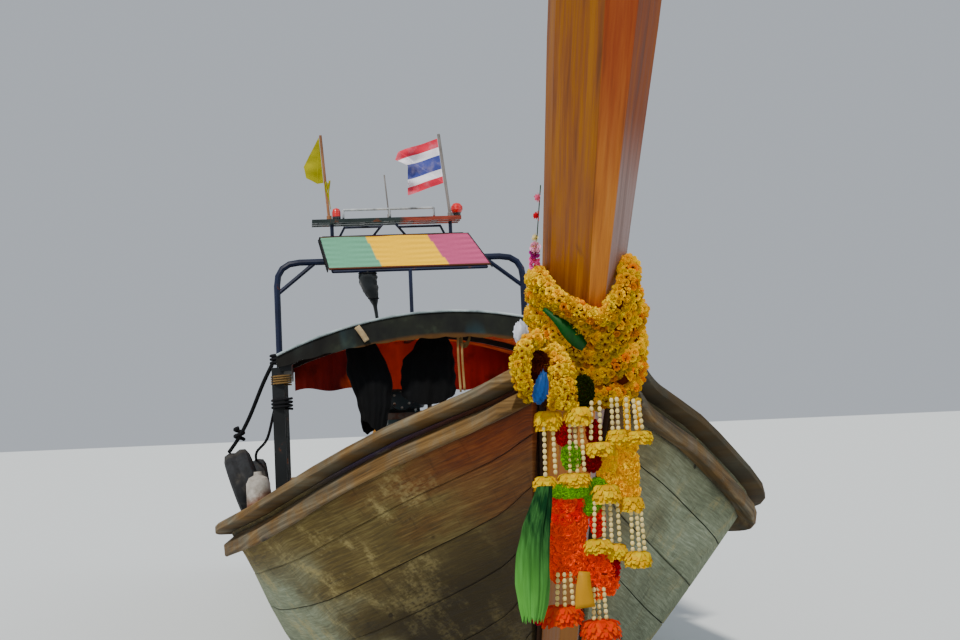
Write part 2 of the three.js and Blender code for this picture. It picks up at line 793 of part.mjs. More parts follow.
function rackGeometry() {
  const [left, right] = RACK.x;
  const [near, far] = RACK.y.map((at) => at - MIDSHIP);
  const z = RACK.low + RACK_TUBE;
  const pieces = [
    box(right - left, 28, 28, (left + right) / 2, near, z),
    box(right - left, 28, 28, (left + right) / 2, far, z),
    box(right - left, 60, 28, (left + right) / 2, ARCH_AT - MIDSHIP, z),
  ];
  const slats = 7;
  for (let i = 0; i < slats; i++) {
    const x = left + 20 + ((right - left - 40) * i) / (slats - 1);
    pieces.push(box(40, far - near, 20, x, (near + far) / 2, z));
  }
  const rail = { from: -417, to: 267, up: 80 };
  pieces.push(bar([rail.from, near, z + rail.up], [rail.to, near, z + rail.up], 9));
  for (const x of [rail.from, -68, rail.to]) pieces.push(bar([x, near, z], [x, near, z + rail.up], 8));
  return join(pieces);
}

const RACK_TOP = RACK.low + 2 * RACK_TUBE;
const FLAG_POLES = [
  { x: -521, lean: -0.067, top: 3431, radius: 11 },
  { x: 402, lean: -0.102, top: 3419, radius: 12 },
];

// A thin standard that leans to starboard from the rack's after bar.
function standardGeometry({ x, lean, top, radius }, at = ARCH_AT) {
  const y = at - MIDSHIP;
  const foot = RACK_TOP + 1;
  const shaft = bar([x, y, foot + 6], [x + lean * (top - foot), y, top], radius);
  return join([shaft, bar([x, y, foot], [x, y, foot + 40], radius + 9, 10)]);
}

// A flag's cloth as a thin plate beside its pole. Columns: place across from the pole, drop from the top.
function flagGeometry(pole, outline, thick = 12) {
  const shape = new THREE.Shape();
  outline.forEach(([across, drop], i) => {
    const z = pole.top - drop;
    const x = pole.x + pole.lean * (z - RACK_TOP) + across;
    if (i) shape.lineTo(x, z);
    else shape.moveTo(x, z);
  });
  const geometry = new THREE.ExtrudeGeometry(shape, { depth: thick, bevelEnabled: false });
  return geometry.rotateX(Math.PI / 2).translate(0, ARCH_AT - MIDSHIP + thick / 2, 0);
}
const PENNANT_OUTLINE = [
  [-13, 15],
  [-13, 365],
  [-62, 372],
  [-140, 325],
  [-150, 235],
];
const NATIONAL_OUTLINE = [
  [-15, 35],
  [-15, 378],
  [-300, 465],
  [-268, 345],
  [-272, 245],
  [-356, 185],
  [-328, 130],
];

// Signal lamps with domed glasses. Columns: radius, height above the rack.
const LAMPS = {
  lamp_starboard: { x: -468, profile: [[0, 0], [33, 0], [33, 55], [24, 78], [0, 88]] },
  lamp_port: { x: 444, profile: [[0, 0], [28, 0], [30, 18], [46, 46], [44, 72], [26, 94], [0, 101]] },
};

function lampGeometry({ x, profile }) {
  const outline = profile.map(([r, h]) => new THREE.Vector2(r, h));
  const lamp = new THREE.LatheGeometry(outline, 14).rotateX(Math.PI / 2);
  return lamp.translate(x, RACK.y[0] + 30 - MIDSHIP, RACK_TOP + 1);
}

// Small old tyres on the starboard gunwale cap as fenders, leaning outboard. Their section's columns:
// radius, distance across from the middle.
const FENDERS = [
  { x: -1109, at: 5200, lean: 0.31, size: 1.27 },
  { x: -1060, at: 5605, lean: 0.12, size: 1.08 },
];
const TYRE_SECTION = [
  [92, -46],
  [96, -62],
  [126, -75],
  [150, -62],
  [157, -30],
  [149, 0],
  [157, 30],
  [150, 62],
  [126, 75],
  [96, 62],
  [92, 46],
  [112, 40],
  [112, -40],
];

function fenderGeometry({ x, at, lean, size }) {
  const section = [...TYRE_SECTION, TYRE_SECTION[0]].map(([r, across]) => new THREE.Vector2(r, across));
  const tyre = new THREE.LatheGeometry(section, 22).rotateZ(Math.PI / 2);
  tyre.scale(1, size, size).rotateY(-lean);
  tyre.computeBoundingBox();
  return tyre.translate(x, at - MIDSHIP, capTop(at) + 4 - tyre.boundingBox.min.z);
}

// A plastic net float that stands on the cap by the first canopy post. Columns: radius, height.
const FLOAT = { x: -1035, at: 4900 };
const FLOAT_PROFILE = [
  [0, 0],
  [58, 0],
  [66, 22],
  [66, 205],
  [50, 238],
  [24, 250],
  [22, 270],
  [0, 272],
];

function floatGeometry() {
  const outline = FLOAT_PROFILE.map(([r, h]) => new THREE.Vector2(r, h));
  const float = new THREE.LatheGeometry(outline, 16).rotateX(Math.PI / 2);
  return float.translate(FLOAT.x, FLOAT.at - MIDSHIP, capTop(FLOAT.at) + 3);
}

// Cloths and coats hung under the front of the canopy, as plain soft bundles.
const HUNG = [
  { name: "hanging_cloth_starboard", x: -408, half: 122, at: 4780, deep: 70, top: 1705, bottom: 1215 },
  { name: "hanging_cloth_port", x: -85, half: 152, at: 4800, deep: 65, top: 1700, bottom: 1360 },
];

function bundleGeometry({ x, half, at, deep, top, bottom }) {
  const profile = [
    [0.3, 0],
    [0.75, 0.12],
    [1, 0.3],
    [1, 0.75],
    [0.7, 0.95],
    [0.35, 1],
  ];
  const rings = profile.map(([share, drop]) => {
    const z = top - (top - bottom) * drop;
    return Array.from({ length: 12 }, (_, k) => {
      const a = (Math.PI * 2 * k) / 12;
      return new THREE.Vector3(x + half * share * Math.cos(a), at - MIDSHIP + deep * share * Math.sin(a), z);
    });
  });
  return loftGeometry(rings);
}

// Garlands round the stem. Columns: height, middle, half-width, half-depth.
const WRAP_RINGS = [
  [1500, -5, 195, 225],
  [1560, -5, 188, 230],
  [1620, -15, 172, 230],
  [1680, -28, 155, 225],
  [1715, -20, 138, 205],
];
const FRONT_RINGS = [
  [1240, -50, 130, 70],
  [1300, -48, 155, 85],
  [1400, -45, 185, 95],
  [1500, -40, 185, 105],
  [1530, -40, 160, 100],
];

function ovalRing(x, y, z, halfX, halfY, sides = 16) {
  return Array.from({ length: sides }, (_, k) => {
    const a = (Math.PI * 2 * k) / sides;
    return new THREE.Vector3(x + halfX * Math.cos(a), y + halfY * Math.sin(a), z);
  });
}

function garlandWrapGeometry() {
  const around = WRAP_RINGS.map(([z, x, half, deep]) => ovalRing(x, noseAt(z) + 165 - MIDSHIP, z, half, deep));
  const front = FRONT_RINGS.map(([z, x, half, deep]) => ovalRing(x, -95 - MIDSHIP, z, half, deep));
  const body = solidOf(loftGeometry(around)).add(solidOf(loftGeometry(front)));
  return geometryOf(body.subtract(solidOf(stemGeometry(3))));
}

const TASSEL_RINGS = [
  [700, -40, 80, 55],
  [760, -70, 115, 65],
  [830, -70, 110, 60],
  [930, -15, 125, 65],
  [1060, -15, 125, 65],
  [1150, -35, 150, 75],
  [1236, -40, 155, 75],
];

const tasselGeometry = () =>
  loftGeometry(TASSEL_RINGS.map(([z, x, half, deep]) => ovalRing(x, -95 - MIDSHIP, z, half, deep)));

const TULLE_RINGS = [
  [735, -190, 42, 30],
  [850, -185, 52, 35],
  [1000, -180, 44, 32],
  [1120, -178, 26, 24],
  [1230, -150, 18, 18],
];

// The tulle hangs just ahead of the tassels' starboard side.
const tulleGeometry = () =>
  loftGeometry(TULLE_RINGS.map(([z, x, half, deep]) => ovalRing(x, -215 - MIDSHIP, z, half, deep, 12)));

// The swivelling engine and tail. Local places are from the tilt pin: +Y aft, +Z up.
const PIVOT = { at: 9750, z: 1270 };
const REST_TILT = -3;
const SHAFT_Z = 82;
const EAR_X = 100;
const PIN_RADIUS = 20;
const YOKE_BASE = -165;
const TUBE_RADIUS = 38;
const TUBE_TO = 3600;
const RAIL_X = 215;
const ENGINE = { from: -930, to: -260 };
const CRADLE = { front: -1010, back: 255 };

const DISC_SIDES = 20;

// A disc or drum whose axis runs fore and aft.
function drum(radius, from, to, x, z, sides = DISC_SIDES, endRadius = radius) {
  const geometry = new THREE.CylinderGeometry(endRadius, radius, to - from, sides);
  return geometry.translate(0, (from + to) / 2, 0).translate(x, 0, z);
}

function postGeometry() {
  const deck = AFT_DECK.z + 1;
  const top = PIVOT.z + YOKE_BASE - 22;
  const y = PIVOT.at - MIDSHIP;
  const turned = (radius, from, to) =>
    new THREE.CylinderGeometry(radius, radius, to - from, 16).rotateX(Math.PI / 2).translate(0, y, (from + to) / 2);
  const pieces = [box(300, 300, 60, 0, y, deck + 30), turned(75, deck + 50, top - 20), turned(105, top - 30, top)];
  const gusset = { long: 280, tall: 170, thick: 24 };
  const middle = deck + 50 + gusset.tall / 2;
  pieces.push(box(gusset.thick, gusset.long, gusset.tall, 0, y, middle));
  pieces.push(box(gusset.long, gusset.thick, gusset.tall, 0, y, middle));
  return join(pieces);
}

function yokeGeometry() {
  const base = YOKE_BASE - 21.5;
  const disc = new THREE.CylinderGeometry(118, 118, 24, 20).rotateX(Math.PI / 2).translate(0, 0, base + 12);
  const pieces = [disc];
  for (const side of [-1, 1]) {
    pieces.push(box(18, 110, 190 + 20, side * EAR_X, 0, base + 20 + 95));
    pieces.push(box(18, 80, 60, side * (EAR_X - 16), 0, base + 50));
  }
  const hole = bar([-150, 0, 0], [150, 0, 0], PIN_RADIUS + 5, 16);
  return cut(join(pieces), [hole]);
}

// Two long rails under the engine, with cross pieces and the tilt pin between them.
function cradleGeometry() {
  const pieces = [];
  const low = -75;
  const high = -25;
  for (const side of [-1, 1]) {
    const length = CRADLE.back - CRADLE.front + 50;
    pieces.push(box(45, length, high - low, side * RAIL_X, (CRADLE.front + CRADLE.back) / 2, (low + high) / 2));
    pieces.push(box(45, 90, 80, side * RAIL_X, 0, -10));
  }
  pieces.push(box(2 * RAIL_X, 50, 50, 0, CRADLE.front, -50));
  pieces.push(box(2 * RAIL_X, 50, 50, 0, CRADLE.back, -50));
  pieces.push(bar([-RAIL_X - 40, 0, 0], [RAIL_X + 40, 0, 0], PIN_RADIUS, 14));
  for (const side of [-1, 1]) {
    pieces.push(bar([side * RAIL_X, CRADLE.front, -50], [side * RAIL_X, CRADLE.front, 160], 18));
  }
  pieces.push(bar([-RAIL_X - 6, CRADLE.front, 160], [RAIL_X + 6, CRADLE.front, 160], 18));
  return join(pieces);
}

// The engine: sump, block, head, cover, bell housing, pulleys and its feet on the rails.
function engineGeometry() {
  const { from, to } = ENGINE;
  const length = to - from;
  const middle = (from + to) / 2;
  const clear = -24;
  const pieces = [
    box(210, length - 120, 120, 0, middle, -40),
    box(290, length, 60, 0, middle, 40),
    box(270, length - 20, 220, 0, middle, 160),
    box(230, length - 30, 95, 0, middle, 310),
    box(150, length - 60, 60, -10, middle, 380),
    drum(175, to - 5, to + 75, 0, SHAFT_Z + 20),
    drum(175, to + 70, to + 190, 0, SHAFT_Z + 20, DISC_SIDES, 95),
    drum(85, from - 50, from + 5, 0, SHAFT_Z),
    drum(55, from - 42, from + 40, 118, 215),
    drum(55, from - 42, from + 40, 0, 270),
  ];
  for (const side of [-1, 1]) {
    for (const y of [from + 110, to - 70]) {
      pieces.push(box(115, 70, 18, side * 178, y, clear + 10));
      pieces.push(box(20, 70, 70, side * 140, y, 20));
    }
  }
  pieces.push(drum(62, from + 10, from + 150, 170, 215, 16));
  const fins = 6;
  for (let i = 0; i < fins; i++) {
    const y = from + 90 + ((length - 180) * i) / (fins - 1);
    pieces.push(box(284, 22, 190, 0, y, 160));
  }
  return join(pieces);
}

// Exhaust: four runners into a log, then an elbow and a straight open pipe.
function exhaustGeometry() {
  const { from, to } = ENGINE;
  const x = -190;
  const z = 300;
  const pieces = [bar([x, from + 70, z], [x, to - 60, z], 34, 12)];
  for (let i = 0; i < 4; i++) {
    const y = from + 95 + i * 155;
    pieces.push(bar([-120, y, z + 10], [x, y, z], 22, 10));
    pieces.push(box(10, 66, 66, -121, y, z + 10));
  }
  pieces.push(
    bentBar(
      [
        [x, to - 80, z],
        [x, to + 30, z],
        [x - 40, to + 170, z + 190],
        [x - 40, to + 520, z + 215],
      ],
      30,
      60,
      12,
    ),
  );
  pieces.push(bar([x - 40, to + 250, z + 196], [x - 40, to + 460, z + 211], 55, 14));
  return join(pieces);
}

// Intake: a log on the port side, a bent neck and a round air cleaner on top.
function intakeGeometry() {
  const { from, to } = ENGINE;
  const x = 170;
  const z = 330;
  const pieces = [bar([x, from + 90, z], [x, to - 90, z], 30, 12)];
  for (let i = 0; i < 4; i++) {
    const y = from + 110 + i * 150;
    pieces.push(bar([116, y, z], [x, y, z], 20, 10));
    pieces.push(box(8, 60, 60, 120.5, y, z));
  }
  const middle = (from + to) / 2;
  pieces.push(bar([x, middle, z], [x, middle, z + 150], 32, 12));
  const can = [
    [0, 0],
    [120, 0],
    [132, 8],
    [132, 20],
    [124, 24],
    [124, 66],
    [134, 70],
    [134, 82],
    [110, 92],
    [20, 94],
    [14, 106],
    [0, 106],
  ].map(([r, h]) => new THREE.Vector2(r, h));
  pieces.push(new THREE.LatheGeometry(can, 22).rotateX(Math.PI / 2).translate(x - 60, middle, z + 125));
  return join(pieces);
}

// The long tail: gearbox stub, shaft tube, truss rod and the outer bearing.
function tailTubeGeometry() {
  const z = SHAFT_Z;
  const start = ENGINE.to + 192;
  const pieces = [
    drum(92, start, start + 24, 0, z + 20, 18),
    drum(80, start + 15, start + 150, 0, z + 12, 18, 52),
    drum(TUBE_RADIUS, start + 120, TUBE_TO, 0, z, 14),
    drum(58, 1200, 1240, 0, z, 14),
    drum(50, TUBE_TO - 160, TUBE_TO - 30, 0, z, 14, 46),
  ];
  pieces.push(box(2 * RAIL_X + 20, 40, 20, 0, CRADLE.back, -14));
  pieces.push(box(70, 40, 70, 0, CRADLE.back, 20));
  pieces.push(bar([0, 420, z], [0, 900, z + 120], 10));
  pieces.push(bar([0, 900, z + 120], [0, 2300, z + 120], 10));
  pieces.push(bar([0, 2300, z + 120], [0, 2950, z], 10));
  for (const y of [900, 1600, 2300]) pieces.push(bar([0, y, z], [0, y, z + 120], 9));
  return join(pieces);
}

// The skeg under the tube and the plate above the propeller, on a split collar.
function tailFinGeometry() {
  const z = SHAFT_Z;
  const plate = (outline) => {
    const shape = new THREE.Shape();
    outline.forEach(([y, h], i) => (i ? shape.lineTo(y, h) : shape.moveTo(y, h)));
    const flat = new THREE.ExtrudeGeometry(shape, { depth: 10, bevelEnabled: false });
    return flat.rotateX(Math.PI / 2).rotateZ(Math.PI / 2).translate(-5, 0, 0);
  };
  const end = TUBE_TO;
  const collar = drum(60, end - 420, end - 230, 0, z, 16);
  const skeg = plate([
    [end - 415, z - 50],
    [end - 235, z - 50],
    [end + 60, z - 235],
    [end + 30, z - 260],
    [end - 120, z - 245],
  ]);
  const guard = plate([
    [end - 415, z + 50],
    [end - 235, z + 50],
    [end - 90, z + 140],
    [end - 190, z + 150],
  ]);
  const bore = drum(TUBE_RADIUS + 1, end - 600, end - 100, 0, z, 14);
  return cut(join([collar, skeg, guard]), [bore]);
}

// Propeller: shaft stub, hub and two twisted blades.
const BLADES = 2;
const BLADE_RADIUS = 170;

function propellerGeometry() {
  const z = SHAFT_Z;
  const hubFrom = TUBE_TO + 60;
  const hubTo = TUBE_TO + 150;
  const pieces = [
    drum(16, TUBE_TO + 3, hubFrom + 10, 0, z, 12),
    drum(36, hubFrom, hubTo, 0, z, 12),
    drum(24, hubTo - 5, hubTo + 40, 0, z, 12),
  ];
  // Radius, half of the blade's width, half of its thickness and its pitch in degrees.
  const stations = [
    [20, 26, 6, 58],
    [80, 60, 5, 46],
    [130, 58, 4, 36],
    [BLADE_RADIUS, 30, 3, 28],
  ];
  for (let i = 0; i < BLADES; i++) {
    const rings = stations.map(([radius, halfChord, halfThick, degrees]) => {
      const a = (degrees * Math.PI) / 180;
      const corners = [
        [halfChord, 0.5 * halfThick],
        [-halfChord, halfThick],
        [-halfChord, -halfThick],
        [halfChord, -0.5 * halfThick],
      ];
      return corners.map(([x, y]) => new THREE.Vector3(
        x * Math.cos(a) - y * Math.sin(a),
        x * Math.sin(a) + y * Math.cos(a),
        radius,
      ));
    });
    const blade = loftGeometry(rings).rotateY((2 * Math.PI * i) / BLADES);
    pieces.push(blade.translate(0, (hubFrom + hubTo) / 2, z));
  }
  return join(pieces);
}

// The steering arm from the front of the cradle, with its grip.
function tillerGeometry() {
  const y = CRADLE.front;
  const z = 196;
  return join([
    bentBar(
      [
        [0, y + 60, z],
        [0, y - 40, z],
        [0, y - 255, z + 60],
      ],
      17,
      40,
      10,
    ),
    bar([0, y - 130, z + 26], [0, y - 275, z + 64.7], 24, 12),
    box(110, 70, 12, 0, y + 20, z - 12 + 12),
  ]);
}

// Materials by name: colour, roughness and metalness.
const FINISHES = {
  stem_wood: [0xb5742f, 0.55, 0],
  bow_planks: [0x6f5a42, 0.8, 0],
  weathered_wood: [0x6b6754, 0.85, 0],
  gunwale_wood: [0x8a7355, 0.85, 0],
  deck_wood: [0x8b765a, 0.85, 0],
  green_canvas: [0x3c5148, 0.8, 0],
  orange_cloth: [0xc24a1e, 0.85, 0],
  dark_steel: [0x23262a, 0.5, 0.6],
  red_glass: [0xb01818, 0.25, 0],
  yellow_cloth: [0xe2cf1c, 0.8, 0],
  flag_cloth: [0xd8d4cf, 0.8, 0],
  black_rubber: [0x191a1c, 0.7, 0],
  black_cloth: [0x15161a, 0.9, 0],
  float_plastic: [0xc9c4bd, 0.6, 0],
  marigold: [0xf2b705, 0.9, 0],
  green_tulle: [0x2f8f55, 0.7, 0],
  engine_paint: [0x4c5a5e, 0.55, 0.4],
  rusty_steel: [0x70452d, 0.8, 0.5],
  bronze: [0x9a7a3c, 0.35, 0.9],
  aluminium: [0x9a9c9c, 0.4, 0.8],
};

const materials = Object.fromEntries(
  Object.entries(FINISHES).map(([name, [color, roughness, metalness]]) => [
    name,
    new THREE.MeshStandardMaterial({ name, color, roughness, metalness }),
  ]),
);

function add(group, name, geometry, finish) {
  const mesh = new THREE.Mesh(geometry, materials[finish]);
  mesh.name = name;
  group.add(mesh);
  return mesh;
}

const boat = new THREE.Group();
boat.name = "longtail_boat";

add(boat, "stem_post", stemGeometry(), "stem_wood");
add(boat, "keel", keelGeometry(), "weathered_wood");
add(boat, "transom", trimmed(transomGeometry()), "weathered_wood");
for (const [side, turn] of SIDES) {
  for (let row = 0; row < STRAKES; row++) {
    const finish = row === STRAKES - 1 ? "bow_planks" : "weathered_wood";
    add(boat, `strake_${row + 1}_${side}`, loftGeometry(turn(strakeRings(row))), finish);
  }
  const skin = hullSpace(turn, PLANK, -TRIM_CLEAR / 2);
  add(boat, `wale_${side}`, cut(loftGeometry(turn(waleRings())), [skin]), "gunwale_wood");
  add(boat, `gunwale_cap_${side}`, loftGeometry(turn(capRings())), "gunwale_wood");
}
for (const [name, frames] of FRAMES) add(boat, name, frames, "weathered_wood");
add(boat, "floorboards", notched(fittedBoard(3400, 8700, FLOOR_Z, BOARD, PLANK + RIB_DEEP + 8, 14)), "deck_wood");
add(boat, "foredeck", notched(foredeckGeometry()), "deck_wood");
const boardInset = PLANK + 6;
add(
  boat,
  "aft_deck",
  notched(fittedBoard(AFT_DECK.from, AFT_DECK.to, AFT_DECK.z - BOARD, BOARD, boardInset, 3)),
  "deck_wood",
);
SEATS.forEach((at, i) => {
  const board = fittedBoard(at - SEAT_DEEP / 2, at + SEAT_DEEP / 2, seatZ(at), BOARD + 8, boardInset, 2);
  add(boat, `seat_${i + 1}`, notched(board), "deck_wood");
});

add(boat, "canopy_frame", canopyFrameGeometry(), "dark_steel");
add(boat, "canopy_cover", canopyCoverGeometry(), "green_canvas");
add(boat, "canopy_curtain", curtainGeometry(), "orange_cloth");
add(boat, "driver_frame", driverFrameGeometry(), "dark_steel");
add(boat, "awning_panel", awningGeometry(), "green_canvas");
add(boat, "lamp_rack", rackGeometry(), "dark_steel");
add(boat, "flagpole_starboard", standardGeometry(FLAG_POLES[0]), "rusty_steel");
add(boat, "flagpole_port", standardGeometry(FLAG_POLES[1]), "aluminium");
add(boat, "aerial", standardGeometry({ x: -65, lean: -0.077, top: 3116, radius: 6 }), "aluminium");
add(boat, "pennant", flagGeometry(FLAG_POLES[0], PENNANT_OUTLINE), "yellow_cloth");
add(boat, "national_flag", flagGeometry(FLAG_POLES[1], NATIONAL_OUTLINE), "flag_cloth");
for (const [name, lamp] of Object.entries(LAMPS)) add(boat, name, lampGeometry(lamp), "red_glass");
FENDERS.forEach((fender, i) => add(boat, `tyre_fender_${i + 1}`, fenderGeometry(fender), "black_rubber"));
add(boat, "net_float", floatGeometry(), "float_plastic");
HUNG.forEach((bundle) => add(boat, bundle.name, bundleGeometry(bundle), "black_cloth"));
add(boat, "garland_wrap", garlandWrapGeometry(), "marigold");
add(boat, "garland_tassels", tasselGeometry(), "marigold");
add(boat, "tulle_tail", tulleGeometry(), "green_tulle");

add(boat, "swivel_post", postGeometry(), "rusty_steel");
const swivel = new THREE.Group();
swivel.position.set(0, PIVOT.at - MIDSHIP, PIVOT.z);
boat.add(swivel);
add(swivel, "swivel_yoke", yokeGeometry(), "rusty_steel");
const tail = new THREE.Group();
tail.rotation.x = (REST_TILT * Math.PI) / 180;
swivel.add(tail);
add(tail, "engine_cradle", cradleGeometry(), "rusty_steel");
add(tail, "engine", engineGeometry(), "engine_paint");
add(tail, "exhaust", exhaustGeometry(), "rusty_steel");
add(tail, "intake", intakeGeometry(), "aluminium");
add(tail, "tail_tube", tailTubeGeometry(), "rusty_steel");
add(tail, "tail_fin", tailFinGeometry(), "rusty_steel");
add(tail, "tiller", tillerGeometry(), "dark_steel");
add(tail, "propeller", propellerGeometry(), "bronze");

export default boat;
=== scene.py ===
"""Looks of the longtail boat: weathered planking, garlands, canopy, steersman's arch, engine and tail.

Lengths are in metres in the boat's own frame: +Y runs aft, +X to port, +Z up, and z = 0 is the waterline.
"""

import math
import random

import bmesh
import bpy
import numpy as np
from mathutils import Matrix, Vector


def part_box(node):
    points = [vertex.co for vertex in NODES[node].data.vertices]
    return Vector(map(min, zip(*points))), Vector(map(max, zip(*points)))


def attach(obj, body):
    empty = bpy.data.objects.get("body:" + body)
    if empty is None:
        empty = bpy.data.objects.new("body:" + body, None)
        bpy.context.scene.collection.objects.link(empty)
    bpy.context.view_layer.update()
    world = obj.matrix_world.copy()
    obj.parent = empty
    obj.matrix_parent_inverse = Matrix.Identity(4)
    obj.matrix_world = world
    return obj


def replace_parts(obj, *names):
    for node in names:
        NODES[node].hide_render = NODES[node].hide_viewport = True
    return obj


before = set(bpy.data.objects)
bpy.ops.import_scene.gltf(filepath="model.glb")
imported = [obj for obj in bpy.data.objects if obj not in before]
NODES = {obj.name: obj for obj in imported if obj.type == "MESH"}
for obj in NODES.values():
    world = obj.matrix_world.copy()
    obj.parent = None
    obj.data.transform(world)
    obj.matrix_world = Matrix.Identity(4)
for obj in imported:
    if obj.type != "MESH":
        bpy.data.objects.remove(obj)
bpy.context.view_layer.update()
rng = random.Random(41)

# The camera: the photograph's viewpoint ahead of the bow, 1.35 m over the water.
PHOTO_WIDTH = 960
FOCAL_PIXELS = 1700
SENSOR = 36.0
EYE = Vector((-0.792, -9.7315, 1.35))
YAW, PITCH, ROLL = (math.radians(a) for a in (6.15, 2.79, -2.37))


def add_camera():
    ahead = Vector((math.sin(YAW) * math.cos(PITCH), math.cos(YAW) * math.cos(PITCH), math.sin(PITCH)))
    level = Vector((math.cos(YAW), -math.sin(YAW), 0))
    upright = level.cross(ahead)
    right = level * math.cos(ROLL) + upright * math.sin(ROLL)
    up = upright * math.cos(ROLL) - level * math.sin(ROLL)
    camera = bpy.data.objects.new("camera", bpy.data.cameras.new("camera"))
    turn = Matrix((right, up, -ahead)).transposed().to_4x4()
    camera.matrix_world = Matrix.Translation(EYE) @ turn
    camera.data.sensor_width = SENSOR
    camera.data.lens = SENSOR * FOCAL_PIXELS / PHOTO_WIDTH
    camera.data.clip_end = 200
    bpy.context.scene.collection.objects.link(camera)
    bpy.context.scene.camera = camera


add_camera()


# Screen colours look greyer after the renderer's tone curve, so each is made this much purer first.
PURER = 1.22


def linear(rgb):
    """A colour of three 0 to 255 screen values as linear light."""
    grey = 0.3 * rgb[0] + 0.59 * rgb[1] + 0.11 * rgb[2]
    rgb = [min(255, max(0, grey + (c - grey) * PURER)) for c in rgb]
    return tuple((c / 255 / 12.92) if c <= 10 else ((c / 255 + 0.055) / 1.055) ** 2.4 for c in rgb) + (1.0,)


def light_of(rgb):
    """The linear light of a screen colour, without its alpha."""
    return np.array(linear(rgb)[:3])


def scaled(rgb, share):
    return tuple(int(c * share) for c in rgb)


class Finish:
    """One material, built with short calls that return node outputs."""

    def __init__(self, name, rough=0.8, metal=0.0, specular=0.4, sheen=0.0, coat=0.0):
        self.material = bpy.data.materials.new(name)
        self.material.use_nodes = True
        self.tree = self.material.node_tree
        self.tree.nodes.clear()
        self.shader = self.node("ShaderNodeBsdfPrincipled")
        output = self.node("ShaderNodeOutputMaterial")
        self.tree.links.new(self.shader.outputs[0], output.inputs[0])
        for socket, value in (
            ("Roughness", rough),
            ("Metallic", metal),
            ("Specular IOR Level", specular),
            ("Sheen Weight", sheen),
            ("Coat Weight", coat),
        ):
            self.shader.inputs[socket].default_value = value
        place = self.node("ShaderNodeTexCoord")
        self.place = place.outputs["Object"]
        self.facing = place.outputs["Normal"]

    def node(self, kind, **settings):
        made = self.tree.nodes.new(kind)
        for key, value in settings.items():
            setattr(made, key, value)
        return made

    def put(self, socket, value):
        if isinstance(value, bpy.types.NodeSocket):
            self.tree.links.new(value, socket)
        elif hasattr(value, "__len__") and len(value) == 3 and socket.type == "RGBA":
            socket.default_value = linear(value)
        else:
            socket.default_value = value

    def made(self, kind, output, *values, **settings):
        """A new node's output, with its first inputs set to the values."""
        node = self.node(kind, **settings)
        for socket, value in zip(node.inputs, values):
            self.put(socket, value)
        return node.outputs[output]

    def math(self, operation, first, *others):
        """The values put together one after another by one operation."""
        for other in others:
            first = self.made("ShaderNodeMath", 0, first, other, operation=operation)
        return first

    def times(self, *values):
        return self.math("MULTIPLY", *values)

    def plus(self, *values):
        return self.math("ADD", *values)

    def minus(self, *values):
        return self.math("SUBTRACT", *values)

    def axis(self, name, vector=None):
        return self.made("ShaderNodeSeparateXYZ", name, vector or self.place)

    def vector(self, x, y, z):
        return self.made("ShaderNodeCombineXYZ", 0, x, y, z)

    def stretch(self, scale, vector=None, shift=(0, 0, 0)):
        return self.made("ShaderNodeMapping", 0, vector or self.place, shift, (0, 0, 0), scale)

    def texture(self, kind, output, vector, values, **settings):
        node = self.node(kind, **settings)
        self.put(node.inputs["Vector"], vector or self.place)
        for socket, value in values.items():
            node.inputs[socket].default_value = value
        return node.outputs[output]

    def noise(self, scale, vector=None, detail=4.0, rough=0.55, warp=0.0):
        values = {"Scale": scale, "Detail": detail, "Roughness": rough, "Distortion": warp}
        return self.texture("ShaderNodeTexNoise", "Fac", vector, values)

    def cells(self, scale, vector=None):
        return self.texture("ShaderNodeTexVoronoi", "Distance", vector, {"Scale": scale})

    def wave(self, scale, vector=None, direction="X"):
        return self.texture("ShaderNodeTexWave", "Fac", vector, {"Scale": scale}, bands_direction=direction)

    def band(self, value, low, high, out_low=0.0, out_high=1.0, kind="SMOOTHSTEP"):
        """A smooth or straight step of value from low to high."""
        ends = (low, high, out_low, out_high)
        return self.made("ShaderNodeMapRange", 0, value, *ends, interpolation_type=kind)

    def openness(self, reach):
        """How open the surface is to its surroundings: low inside seams and under ledges."""
        node = self.node("ShaderNodeAmbientOcclusion", samples=6)
        node.inputs["Distance"].default_value = reach
        return node.outputs["AO"]

    def ramp(self, value, *stops, kind="LINEAR"):
        """Screen colours at their places along a value from 0 to 1."""
        node = self.node("ShaderNodeValToRGB")
        node.color_ramp.interpolation = kind
        self.put(node.inputs[0], value)
        elements = node.color_ramp.elements
        while len(elements) < len(stops):
            elements.new(1.0)
        for element, (place, colour) in zip(elements, stops):
            element.position = place
            element.color = linear(colour)
        return node.outputs["Color"]

    def mix(self, share, a, b, blend="MIX"):
        node = self.node("ShaderNodeMix", data_type="RGBA", blend_type=blend)
        for socket, value in ((0, share), (6, a), (7, b)):
            self.put(node.inputs[socket], value)
        return node.outputs[2]

    def attribute(self, name):
        return self.node("ShaderNodeAttribute", attribute_name=name).outputs["Color"]

    def set(self, socket, value):
        self.put(self.shader.inputs[socket], value)
        return self

    def colour(self, value):
        return self.set("Base Color", value)

    def rough(self, value):
        return self.set("Roughness", value)

    def glow(self, colour, strength):
        """Painted light: an even glow in a colour, which stands in for light that passes through thin cloth
        or petals.
        """
        return self.set("Emission Color", colour).set("Emission Strength", strength)

    def coat_over(self, share, colour):
        """Another colour over the present one, by a share."""
        base = self.shader.inputs["Base Color"].links[0].from_socket
        return self.colour(self.mix(share, base, colour))

    def bump(self, height, depth, strength=1.0):
        node = self.node("ShaderNodeBump")
        node.inputs["Strength"].default_value = strength
        node.inputs["Distance"].default_value = depth
        self.put(node.inputs["Height"], height)
        previous = self.shader.inputs["Normal"].links
        if previous:
            self.tree.links.new(previous[0].from_socket, node.inputs["Normal"])
        self.tree.links.new(node.outputs[0], self.shader.inputs["Normal"])
        return self


